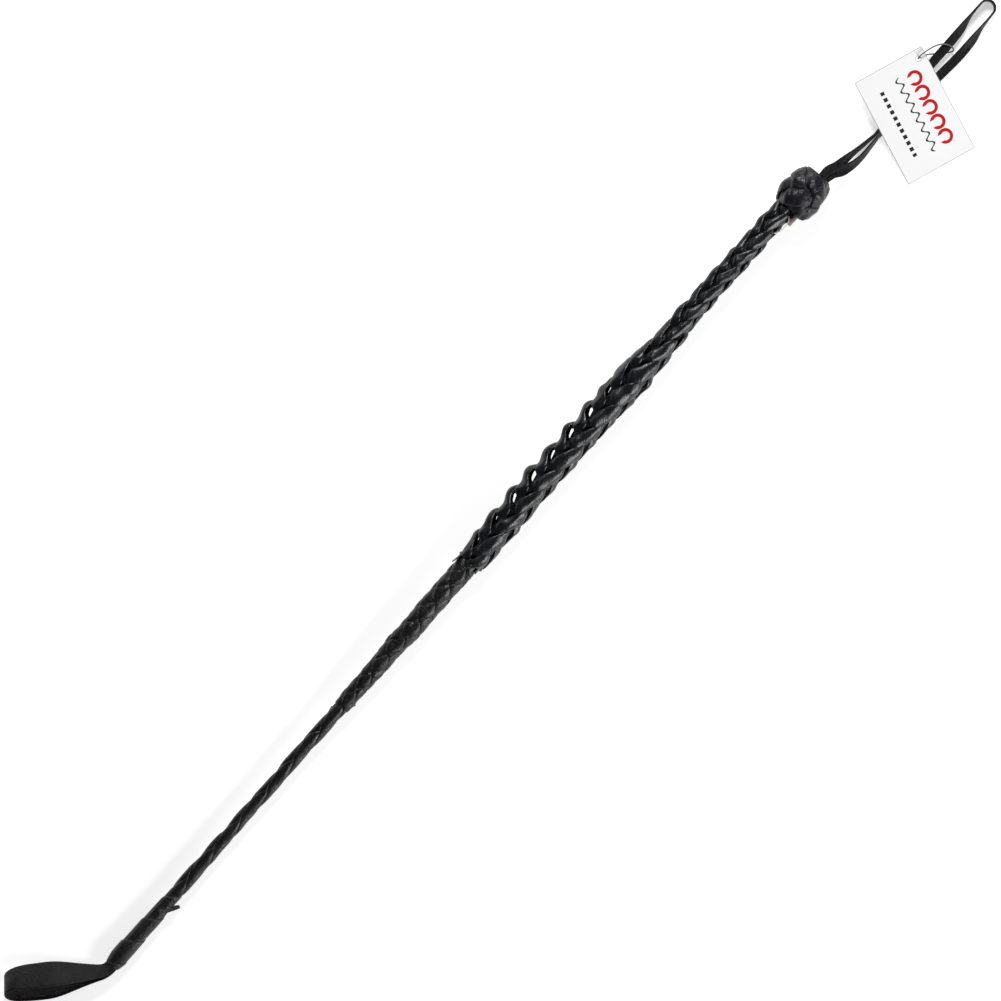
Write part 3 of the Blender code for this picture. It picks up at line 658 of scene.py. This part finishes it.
def core_radius(place):
    least = GRIP_CORE_LEAST + (HANDLE_CORE_LEAST - GRIP_CORE_LEAST) * smooth((place - GRIP_END) / 0.02)
    return max(grip_radius(place) - GRIP_CORE_CLEARANCE, least)


grip_core = turned("grip_build_up", 32, "NGON", GRIP_START + 0.001, KNOT_START - 0.001, 24, core_radius)
apply_all(grip_core)
grip_core.data.materials.append(filler_leather)
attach(grip_core, "shaft")
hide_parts("grip_filler")
print("grip core", len(grip_core.data.polygons), "faces")

# %% [markdown]
# ## The tip wrap
# A strip of thin leather is wound round the root of the keeper, each turn half over the last, so that its
# edges show as slanting steps. A sleeve under it closes the mouth. The winding is one strip on a screw line.

# %% The winding
WRAP_LIP_RADIUS = 0.0050
WRAP_MOUTH_RADIUS = 0.0060
WRAP_MIDDLE_RADIUS = 0.0052
WRAP_END_RADIUS = 0.0042
WRAP_PITCH = 0.0195
WRAP_WIDTH = 0.0270
WRAP_LEATHER = 0.0007
WRAP_START = math.radians(140)
WRAP_EDGE_LIFT = 0.00040
WRAP_WOBBLE = 0.00022


def wrap_radius(place):
    return along(((0.0, WRAP_LIP_RADIUS), (0.007, WRAP_MOUTH_RADIUS), (THIN_START * 0.5, WRAP_MIDDLE_RADIUS),
                  (THIN_START, WRAP_END_RADIUS)), place)


wrap_turns = (THIN_START + WRAP_WIDTH) / WRAP_PITCH


def wrap_place(row, across):
    angle = 2 * math.pi * wrap_turns * row + WRAP_START
    place = WRAP_PITCH * wrap_turns * row - WRAP_WIDTH / 2 + across * WRAP_WIDTH / 2
    held = min(max(place, 0.0), THIN_START)
    radius = wrap_radius(held) + WRAP_EDGE_LIFT * across - 0.0001 + wobble(held, angle, WRAP_WOBBLE)
    return shaft_frame @ Vector((radius * math.cos(angle), radius * math.sin(angle), held))


tip_winding = strip("tip_winding", 170, 10, wrap_place, WRAP_LEATHER, wrap_leather, "shaft")

# %% The sleeve under it
SLEEVE_WALL = 0.0008
sleeve = turned("tip_sleeve", 40, "NOTHING", 0.0, THIN_START, 12, lambda place: wrap_radius(place) - SLEEVE_WALL)
wall = sleeve.modifiers.new("wall", "SOLIDIFY")
wall.thickness = SLEEVE_WALL
wall.offset = -1.0
apply_all(sleeve)
sleeve.data.materials.append(filler_leather)
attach(sleeve, "shaft")
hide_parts("tip_wrap")
print("tip wrap", len(tip_winding.data.polygons) + len(sleeve.data.polygons), "faces")

# %% [markdown]
# ## The keeper
# The keeper is one strap, folded in half, with both ends bound under the wrap. It is soft, and it is one
# piece from its ends in the wrap across its joint to the fold; it is not parented to a body.

# %% The keeper strap
KEEPER_WIDTH = 0.0212
KEEPER_ROOT_WIDTH = 0.0100
KEEPER_LENGTH = 0.072
KEEPER_FOLD_RADIUS = 0.0062
KEEPER_FOLD_DEPTH = 0.0095
KEEPER_PINCH = 0.00095
KEEPER_TURN = math.radians(41.0)
KEEPER_TURN_LENGTH = 0.012
KEEPER_SPREAD_LENGTH = 0.042
KEEPER_OPENING_LENGTH = 0.046
KEEPER_LEAN = math.radians(45.0)
KEEPER_RISE = 0.0073
KEEPER_RISE_SHARE = 0.6
KEEPER_TAIL_DEPTH = 0.026
KEEPER_TAIL_WIDTH = 0.0050
KEEPER_LEATHER = 0.0016
KEEPER_NOSE_TAPER = 0.0035
KEEPER_NOSE = 0.018
KEEPER_SEAT = 0.0025
KEEPER_RIPPLE = 0.0007
KEEPER_CUP = 0.0006


def keeper_frame(distance):
    """Centre, gap direction and width direction at a distance from the wrap's mouth."""
    steps = 24
    point = Vector((0.0, 0.0, 0.0))
    for step in range(steps):
        part = distance * (step + 0.5) / steps
        turn = KEEPER_TURN * smooth(part / KEEPER_TURN_LENGTH)
        point += Vector((-math.cos(turn), math.sin(turn), 0.0)) * distance / steps
    turn = KEEPER_TURN * smooth(distance / KEEPER_TURN_LENGTH)
    point.z = KEEPER_RISE * smooth(distance / (KEEPER_LENGTH * KEEPER_RISE_SHARE))
    side = Vector((math.sin(turn), math.cos(turn), 0.0))
    gap_way = side * math.sin(KEEPER_LEAN) + Vector((0, 0, math.cos(KEEPER_LEAN)))
    width_way = -side * math.cos(KEEPER_LEAN) + Vector((0, 0, math.sin(KEEPER_LEAN)))
    return root + point, gap_way, width_way


def keeper_path(row):
    """Distance from the mouth and gap from the middle, at a share of the whole strap."""
    leg = KEEPER_LENGTH - KEEPER_FOLD_DEPTH
    fold = math.pi * (KEEPER_FOLD_RADIUS + KEEPER_FOLD_DEPTH) / 4
    walked = abs(row - 0.5) * 2 * (leg + fold + KEEPER_TAIL_DEPTH)
    side = 1 if row < 0.5 else -1
    if walked < fold:
        angle = walked / fold * math.pi / 2
        return leg + KEEPER_FOLD_DEPTH * math.cos(angle), side * KEEPER_FOLD_RADIUS * math.sin(angle)
    distance = leg + fold - walked
    opened = smooth((distance - KEEPER_HINGE_OFFSET) / KEEPER_OPENING_LENGTH)
    gap = KEEPER_PINCH + (KEEPER_FOLD_RADIUS - KEEPER_PINCH) * opened
    seat = smooth(-distance / 0.008)
    return distance, side * (gap + (KEEPER_SEAT - gap) * seat)


def keeper_place(row, across):
    distance, gap = keeper_path(row)
    wide = smooth((distance - KEEPER_HINGE_OFFSET) / KEEPER_SPREAD_LENGTH)
    width = KEEPER_ROOT_WIDTH + (KEEPER_WIDTH - KEEPER_ROOT_WIDTH) * wide
    if distance < 0:
        width += (KEEPER_TAIL_WIDTH - width) * smooth(-distance / 0.003)
    centre, gap_way, width_way = keeper_frame(distance if distance > 0 else 0.0)
    if distance < 0:
        centre = shaft_frame @ Vector((0, 0, -distance))
    width -= KEEPER_NOSE_TAPER * smooth((distance - KEEPER_LENGTH + KEEPER_NOSE) / KEEPER_NOSE)
    ripple = noise.noise(Vector((distance * 60, across * 0.8, 3.0 if gap > 0 else 9.0))) * KEEPER_RIPPLE
    cup = (1 - across * across) * KEEPER_CUP * (1 if gap > 0 else -1) * wide
    return centre + gap_way * (gap + ripple * wide + cup) + width_way * across * width / 2


keeper_strap = strip("keeper_strap", 150, 10, keeper_place, KEEPER_LEATHER, strap_leather, None)
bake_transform(keeper_strap)
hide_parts("keeper", "keeper_tail_1", "keeper_tail_2")
print("keeper", len(keeper_strap.data.polygons), "faces")

# %% [markdown]
# ## The knot
# The butt is a Turk's head: one lace goes round three times, weaving over and under itself, and meets its
# own start. It was pulled tight while wet, so it is lumpy. One closed strip follows the knot's formula.

# %% The knot's lace
KNOT_RADIUS = 0.0147
KNOT_HELD_IN = 0.0015
KNOT_SETTLED = 0.0010
KNOT_LACE = 0.0018
KNOT_SWING = 0.0012
KNOT_WIDTH = 0.0110
KNOT_DROP = 0.0036
KNOT_CROWN = 0.0009
KNOT_SINK = 0.0006
KNOT_LUMPS = 0.0014
KNOT_CRUMPLE = 0.0007
KNOT_BIGHTS = 4
KNOT_LEADS = 3
knot_middle = (KNOT_START + KNOT_END) / 2
knot_half = (KNOT_END - KNOT_START) / 2
knot_reach = knot_half - KNOT_WIDTH / 2 - KNOT_HELD_IN


def knot_surface(place):
    share = min(abs(place) / knot_half, 1.0)
    return KNOT_RADIUS - KNOT_SWING - KNOT_LACE / 2 - KNOT_DROP * share ** 2.2


def knot_line(share):
    phase = 2 * math.pi * KNOT_BIGHTS * share
    return 2 * math.pi * KNOT_LEADS * share, knot_reach * math.cos(phase), phase


def knot_place(row, across):
    angle, station, phase = knot_line(row)
    ahead, station_ahead, _ = knot_line(row + 0.001)
    radius = knot_surface(station)
    run = Vector((station_ahead - station, radius * (ahead - angle))).normalized()
    station -= run.y * across * KNOT_WIDTH / 2
    angle += run.x * across * KNOT_WIDTH / 2 / radius
    swing = min(max(1.7 * math.sin(2 * phase), -1), 1)
    out = knot_surface(station) + swing * KNOT_SWING + KNOT_CROWN * (1 - across * across) - KNOT_SINK
    lump = noise.noise(Vector((math.cos(angle) * 1.6, math.sin(angle) * 1.6, station * 110)))
    crumple = noise.noise(Vector((math.cos(angle) * 4.1, math.sin(angle) * 4.1, station * 260 + swing)))
    out += lump * KNOT_LUMPS + crumple * KNOT_CRUMPLE
    return shaft_frame @ Vector((out * math.cos(angle), out * math.sin(angle) + knot_offset,
                                 station + knot_middle - KNOT_SETTLED))


butt_knot = strip("butt_knot_lace", 260, 8, knot_place, KNOT_LACE, knot_leather, "shaft", closed=True)
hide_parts("knot_lace")
print("knot", len(butt_knot.data.polygons), "faces")

# %% The pale raw end under the knot
raw_low, raw_high = (Vector(corner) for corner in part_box("raw_lace_end"))
raw_middle = (raw_low + raw_high) / 2
RAW_END_HALF_LENGTH = 0.0042
RAW_END_TUCK = 0.0012
RAW_END_TURNS = 1.35
RAW_END_LEATHER = 0.0009


def raw_place(row, across):
    turn = row * 2 * math.pi * RAW_END_TURNS
    reach = (0.0009 + 0.0012 * row) * (1 + 0.35 * noise.noise(Vector((row * 4, across * 1.5, 0.2))))
    length = across * RAW_END_HALF_LENGTH
    return raw_middle + Vector((RAW_END_TUCK + length, math.cos(turn) * reach, math.sin(turn) * reach))


raw_end = strip("raw_end_roll", 40, 6, raw_place, RAW_END_LEATHER, raw_leather, "shaft")
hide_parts("raw_lace_end")

# %% Loose ends of laces that stick out of the plaits
def lace_end(number, place, degrees, length, width, lean, rise, material):
    """A short tapering end that leaves the surface at a place and an angle round the shaft."""
    angle = math.radians(degrees)
    around = Vector((-math.sin(angle), math.cos(angle), 0))
    outward = Vector((math.cos(angle), math.sin(angle), 0))
    base = outward * (surface_radius(place) - 0.0002) + Vector((0, 0, place))
    way = Vector((0, 0, math.cos(lean))) + around * math.sin(lean)
    side = Vector((0, 0, -math.sin(lean))) + around * math.cos(lean)

    def spot(row, across):
        narrow = width / 2 * (1 - 0.45 * row * row)
        point = base + way * (row - 0.3) * length + side * across * narrow + outward * rise * row * row
        return shaft_frame @ (point - outward * 0.0006 * across * across)

    piece = strip(f"lace_end_{number}", 10, 5, spot, 0.0007, material, "shaft")
    return piece


def surface_radius(place):
    parts = ((GRIP_START, grip_radius), (MIDDLE_START, middle_radius), (THIN_START, thin_radius))
    for start, radius_at in parts:
        if place >= start:
            return radius_at(place)
    return wrap_radius(place)


# Each end's station, its angle in degrees, length, width, lean from the shaft, rise at its tip, and leather.
LACE_ENDS = (
    (0.050, 212, 0.015, 0.0048, 0.62, 0.0012, wrap_leather),
    (0.171, 95, 0.009, 0.0040, -0.4, 0.0009, plait_leather),
    (0.218, 98, 0.010, 0.0048, -0.5, 0.0008, plait_leather),
    (0.229, 250, 0.010, 0.0050, 0.5, 0.0010, plait_leather),
    (0.356, 100, 0.012, 0.0060, 2.6, 0.0018, grip_leather),
    (0.360, 255, 0.012, 0.0056, -2.7, 0.0010, grip_leather),
    (0.633, 100, 0.010, 0.0048, 0.6, 0.0010, grip_leather),
)
for number, end in enumerate(LACE_ENDS, 1):
    lace_end(number, *end)
print("lace ends", len(LACE_ENDS))

# %% The pale thread beside the knot
THREAD_START = 0.650
THREAD_LENGTH = 0.015
THREAD_DEGREES = 238
THREAD_WIDTH = 0.0006
THREAD_RISE = 0.0033
THREAD_DIP = 0.0024


def thread_place(row, across):
    angle = math.radians(THREAD_DEGREES + 14 * math.sin(row * 3.0)) + across * THREAD_WIDTH / 0.015
    place = THREAD_START + THREAD_LENGTH * row
    radius = surface_radius(place) + THREAD_RISE - THREAD_DIP * (2 * row - 1) ** 4
    return shaft_frame @ Vector((radius * math.cos(angle), radius * math.sin(angle), place))


thread = strip("pale_thread", 24, 4, thread_place, THREAD_WIDTH, thread_fibre, "shaft")
print("thread", len(thread.data.polygons), "faces")

# %% [markdown]
# ## The wrist loop
# One long lace leaves the knot, runs out, turns back on its edge and goes in again beside itself. Its route
# is a smooth curve through listed points, each with the strap's lean there. Like the keeper it crosses a
# joint as one piece and is not parented to a body.

# %% A curve through points
def curve_through(points, count):
    points = [Vector(point) for point in points]
    padded = [2 * points[0] - points[1], *points, 2 * points[-1] - points[-2]]
    dense = []
    for a, b, c, d in zip(padded, padded[1:], padded[2:], padded[3:]):
        for step in range(24):
            t = step / 24
            dense.append(0.5 * (2 * b + (c - a) * t + (2 * a - 5 * b + 4 * c - d) * t ** 2
                                + (3 * b - a - 3 * c + d) * t ** 3))
    dense.append(points[-1])
    lengths = [0.0]
    for first, second in zip(dense, dense[1:]):
        lengths.append(lengths[-1] + (second - first).to_3d().length)
    spread = []
    at = 0
    for step in range(count):
        wanted = lengths[-1] * step / (count - 1)
        while at < len(dense) - 2 and lengths[at + 1] < wanted:
            at += 1
        part = (wanted - lengths[at]) / (lengths[at + 1] - lengths[at])
        spread.append(dense[at].lerp(dense[at + 1], min(part, 1.0)))
    return spread


print("curve_through ready")

# %% The wrist loop's lace
LOOP_WIDTH = 0.0064
LOOP_LEATHER = 0.0013
LOOP_ROOT_WIDTH = 0.0052
LOOP_CROWN = 0.00025
LOOP_LENGTH = 0.1596
LOOP_BEND_RADIUS = 0.0053
LOOP_BEND_Y = -0.0127
EDGE_ON_HEIGHT = 0.0035
LOOP_TAIL_Y = (-0.0050, -0.0086)
LOOP_TAIL_SPLIT = 0.0008
LOOP_TAIL_DEPTH = 0.0095
LOOP_NEAR_LEG = (
    (0.010, -0.0078, 0.0104, 8), (0.023, -0.0100, 0.0046, 56), (0.039, -0.0124, 0.0036, 74),
    (0.046, -0.0128, 0.0035, 74), (0.075, -0.0110, 0.0034, 30), (0.100, -0.0097, 0.0036, 10),
    (0.120, -0.0095, 0.0036, 8), (0.132, -0.0090, 0.0035, 35), (0.143, -0.0078, 0.0035, 76),
)
LOOP_FAR_LEG = (
    (0.010, -0.0130, 0.0086, 8), (0.023, -0.0160, 0.0042, 52), (0.039, -0.0156, 0.0036, 72),
    (0.046, -0.0156, 0.0035, 74), (0.075, -0.0176, 0.0028, 30), (0.100, -0.0188, 0.0020, 8),
    (0.116, -0.0198, 0.0018, 5), (0.130, -0.0198, 0.0026, 28), (0.142, -0.0186, 0.0034, 72),
)
loop_hinge = hinge_at["wrist_loop_lift"]
LOOP_BASE = 0.0140
LEAN_SCALE = 0.001


def loop_route():
    near = [(-LOOP_TAIL_DEPTH - LOOP_HINGE_OFFSET, LOOP_TAIL_Y[0], LOOP_BASE + LOOP_TAIL_SPLIT, 0),
            (0.0018, LOOP_TAIL_Y[0], LOOP_BASE + LOOP_TAIL_SPLIT, 0), *LOOP_NEAR_LEG]
    bend = []
    for step in range(7):
        angle = math.pi / 2 - math.pi * step / 6
        x = LOOP_LENGTH - LOOP_BEND_RADIUS + LOOP_BEND_RADIUS * math.cos(angle)
        bend.append((x, LOOP_BEND_Y + LOOP_BEND_RADIUS * math.sin(angle), EDGE_ON_HEIGHT, 90))
    far = [(-LOOP_TAIL_DEPTH - LOOP_HINGE_OFFSET, LOOP_TAIL_Y[1], LOOP_BASE - LOOP_TAIL_SPLIT, 0),
           (0.0018, LOOP_TAIL_Y[1], LOOP_BASE - LOOP_TAIL_SPLIT, 0), *LOOP_FAR_LEG]
    far = [(x, y, z, 180 - lean) for x, y, z, lean in reversed(far)]
    return [Vector((*point[:3], math.radians(point[3]) * LEAN_SCALE)) for point in near + bend + far]


LOOP_ROWS = 220
loop_line = curve_through(loop_route(), LOOP_ROWS + 1)


def loop_place(row, across):
    index = min(round(row * LOOP_ROWS), LOOP_ROWS)
    here = loop_line[index]
    ahead = loop_line[min(index + 1, LOOP_ROWS)]
    behind = loop_line[max(index - 1, 0)]
    run = (ahead.to_3d() - behind.to_3d()).normalized()
    level = Vector((-run.y, run.x, 0)).normalized()
    rise = run.cross(level)
    lean = here.w / LEAN_SCALE
    way = level * math.cos(lean) + rise * math.sin(lean)
    out = -level * math.sin(lean) + rise * math.cos(lean)
    wide = LOOP_WIDTH * (1 + 0.05 * noise.noise(Vector((index * 0.11, 0.2, 0.7))))
    inside = smooth((here.x + LOOP_HINGE_OFFSET) / 0.004)
    wide = LOOP_ROOT_WIDTH + (wide - LOOP_ROOT_WIDTH) * inside
    point = here.to_3d() + way * across * wide / 2 + out * (1 - across * across) * LOOP_CROWN
    return point + Vector((loop_hinge.x, loop_hinge.y, loop_hinge.z - LOOP_BASE))


wrist_strap = strip("wrist_loop_lace", LOOP_ROWS, 6, loop_place, LOOP_LEATHER, strap_leather, None)
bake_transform(wrist_strap)
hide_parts("wrist_loop", "wrist_loop_tail_1", "wrist_loop_tail_2")
print("wrist loop", round(sum((b - a).to_3d().length for a, b in zip(loop_line, loop_line[1:])), 4), "m")

# %% [markdown]
# ## The hang tag
# The tag is stiff white card with a punched hole. Its print is generic: a row of red horseshoes along it, a
# black wavy rule and a row of short dashes, with no lettering. The print is colour in the material, worked
# out from the card's own UV map in metres, and so is painted shade: a thin grey line along the card's edges
# and a grey ring round the hole.

# %% The card
TAG_WIDTH = 0.0508
TAG_HEIGHT = 0.0762
TAG_CARD = 0.0006
TAG_HOLE_RADIUS = 0.0016
TAG_HOLE_INSET = (0.0058, 0.0065)
TAG_TURN = math.radians(-19.4)
TAG_LEAN = math.radians(7.2)
tag_low, tag_high = (Vector(corner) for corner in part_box("hang_tag"))
tag_frame = (Matrix.Translation((tag_low + tag_high) / 2) @ Matrix.Rotation(TAG_LEAN, 4, "X")
             @ Matrix.Rotation(TAG_TURN, 4, "Z"))

bpy.ops.object.select_all(action="DESELECT")
bpy.ops.mesh.primitive_cube_add(size=1)
card = bpy.context.object
card.name = "tag_card"
card.scale = (TAG_WIDTH, TAG_HEIGHT, TAG_CARD)
bpy.ops.object.transform_apply(location=False, rotation=False, scale=True)
bpy.ops.mesh.primitive_cylinder_add(
    vertices=48, radius=TAG_HOLE_RADIUS, depth=0.01,
    location=(TAG_WIDTH / 2 - TAG_HOLE_INSET[0], TAG_HEIGHT / 2 - TAG_HOLE_INSET[1], 0))
punch = bpy.context.object
hole = card.modifiers.new("hole", "BOOLEAN")
hole.operation = "DIFFERENCE"
hole.object = punch
soften = card.modifiers.new("cut_edges", "BEVEL")
soften.width = 0.00012
soften.segments = 2
soften.limit_method = "ANGLE"
apply_all(card)
bpy.data.objects.remove(punch, do_unlink=True)
card_map = card.data.uv_layers.active or card.data.uv_layers.new(name="UVMap")
for loop in card.data.loops:
    corner = card.data.vertices[loop.vertex_index].co
    card_map.data[loop.index].uv = (corner.x + TAG_WIDTH / 2, corner.y + TAG_HEIGHT / 2)
for corner in card.data.vertices:
    corner.co = tag_frame @ corner.co
bpy.ops.object.shade_flat()
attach(card, "hang_tag")
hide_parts("hang_tag")
print("card", len(card.data.polygons), "faces")

# %% The print on it, and painted shade along its edges and round its hole
HORSESHOE_COUNT = 5
HORSESHOE_RADIUS = 0.0041
RED_ROW = 0.0370
WAVE_ROW = 0.0265
DASH_ROW = 0.0130
TAG_EDGE_SHADE = 0.00042
HOLE_SHADE_RING = 0.00038
PRINT_MARGIN = 0.011
WAVE_LENGTH = 0.0072
WAVE_HEIGHT = 0.0019
DASH_SPACING = 0.0046
DASH_ROW_HALF = 0.024


def card_print_and_shade():
    material, tree, shader = new_material("card_print_and_shade")
    links = tree.links
    place = tree.nodes.new("ShaderNodeTexCoord")
    axes = tree.nodes.new("ShaderNodeSeparateXYZ")
    links.new(place.outputs["UV"], axes.inputs[0])
    up, run = axes.outputs["X"], axes.outputs["Y"]

    def step(op, first, second, clamp=False):
        return math_node(tree, op, first, second, clamp)

    def between(value, middle, half):
        return step("LESS_THAN", step("ABSOLUTE", step("SUBTRACT", value, middle), None), half)

    def apart(first, second):
        return step("POWER", step("ADD", step("MULTIPLY", first, first), step("MULTIPLY", second, second)), 0.5)

    spacing = (TAG_HEIGHT - 2 * PRINT_MARGIN) / HORSESHOE_COUNT
    inside = between(run, TAG_HEIGHT / 2, TAG_HEIGHT / 2 - PRINT_MARGIN)
    cell = step("SUBTRACT", step("MODULO", step("SUBTRACT", run, PRINT_MARGIN), spacing), spacing / 2)
    rise = step("SUBTRACT", up, RED_ROW)
    reach = apart(cell, rise)
    ring = between(reach, HORSESHOE_RADIUS, HORSESHOE_RADIUS * 0.27)
    heels = step("LESS_THAN", step("ABSOLUTE", cell, None), HORSESHOE_RADIUS * 0.55)
    below = step("LESS_THAN", rise, 0.0)
    opening = step("MULTIPLY", heels, below)
    red = step("MULTIPLY", step("MULTIPLY", ring, step("SUBTRACT", 1.0, opening)), inside)
    wave = step("MULTIPLY", step("SINE", step("MULTIPLY", run, 2 * math.pi / WAVE_LENGTH), None), WAVE_HEIGHT)
    line = step("MULTIPLY", between(step("SUBTRACT", up, wave), WAVE_ROW, 0.0007), inside)
    dash = step("GREATER_THAN", step("SINE", step("MULTIPLY", run, 2 * math.pi / DASH_SPACING), None), -0.2)
    dashes = step("MULTIPLY", step("MULTIPLY", between(up, DASH_ROW, 0.0014), dash),
                  between(run, TAG_HEIGHT / 2, DASH_ROW_HALF))
    black = step("ADD", line, dashes, True)

    fibres = noise_node(tree, place.outputs["Object"], 900.0, 4.0)
    inked = mix(tree, fibres, (0.83, 0.83, 0.83), (0.88, 0.88, 0.88))
    # A grey ring round the hole is painted shade, the shadow that falls in and round the hole.
    aside = step("SUBTRACT", up, TAG_WIDTH - TAG_HOLE_INSET[0])
    ahead = step("SUBTRACT", run, TAG_HEIGHT - TAG_HOLE_INSET[1])
    hole_shade = between(apart(aside, ahead), TAG_HOLE_RADIUS, HOLE_SHADE_RING)
    # A thin grey line along every edge of the card is painted shade, which outlines the card against the floor.
    edge_shade = step("SUBTRACT", 1.0, step("MULTIPLY", between(up, TAG_WIDTH / 2, TAG_WIDTH / 2 - TAG_EDGE_SHADE),
                                     between(run, TAG_HEIGHT / 2, TAG_HEIGHT / 2 - TAG_EDGE_SHADE)))
    # Red and black are print; the last two colours are the painted edge shade and the painted shade round the
    # hole.
    for mask, colour in ((red, (0.50, 0.003, 0.006)), (black, (0.012, 0.012, 0.012)),
                         (edge_shade, (0.36, 0.36, 0.37)), (hole_shade, (0.24, 0.24, 0.25))):
        inked = mix(tree, mask, inked, colour)
    links.new(inked, shader.inputs["Base Color"])
    shader.inputs["Roughness"].default_value = 0.42
    bump = tree.nodes.new("ShaderNodeBump")
    bump.inputs["Distance"].default_value = 0.0001
    bump.inputs["Strength"].default_value = 0.3
    links.new(fibres, bump.inputs["Height"])
    links.new(bump.outputs["Normal"], shader.inputs["Normal"])
    return material


card.data.materials.append(card_print_and_shade())
print("print", HORSESHOE_COUNT, "horseshoes")

# %% [markdown]
# ## The tag's string
# A thin waxed string goes through the hole, up round the near leg of the loop and back to its own knot. It
# lies on the strap and the card, and its route is a smooth curve through a few points.

# %% The string
STRING_DIAMETER = 0.0010
STRING_ROUTE = (
    (0.0983, -0.0007, 0.0096), (0.0995, -0.0004, 0.0108), (0.1030, -0.0010, 0.0115),
    (0.1085, -0.0024, 0.0098), (0.1140, -0.0046, 0.0074), (0.1180, -0.0082, 0.0058),
    (0.1192, -0.0120, 0.0050), (0.1188, -0.0146, 0.0034), (0.1172, -0.0142, 0.0014),
    (0.1140, -0.0115, 0.0008), (0.1100, -0.0078, 0.0008), (0.1060, -0.0042, 0.0022),
    (0.1020, -0.0018, 0.0046), (0.0988, -0.0009, 0.0072), (0.0979, -0.0007, 0.0084),
)
string_base = Vector((loop_hinge.x, loop_hinge.y, loop_hinge.z - LOOP_BASE))
string_line = [point + string_base for point in curve_through(STRING_ROUTE, 60)]
string_curve = bpy.data.curves.new("tag_string_cord", "CURVE")
string_curve.dimensions = "3D"
string_curve.bevel_depth = STRING_DIAMETER / 2
string_curve.bevel_resolution = 4
string_curve.use_fill_caps = True
string_spline = string_curve.splines.new("POLY")
string_spline.points.add(len(string_line) - 1)
for knot_point, place in zip(string_spline.points, string_line):
    knot_point.co = (*place, 1)
tag_cord = bpy.data.objects.new("tag_string_cord", string_curve)
bpy.context.scene.collection.objects.link(tag_cord)
string_curve.materials.append(
    streaked("waxed_string", 1500.0, 2.0, (0.045, 0.045, 0.048, 1.0), (0.13, 0.13, 0.135, 1.0), 0.55))
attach(tag_cord, "hang_tag")
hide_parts("tag_string")
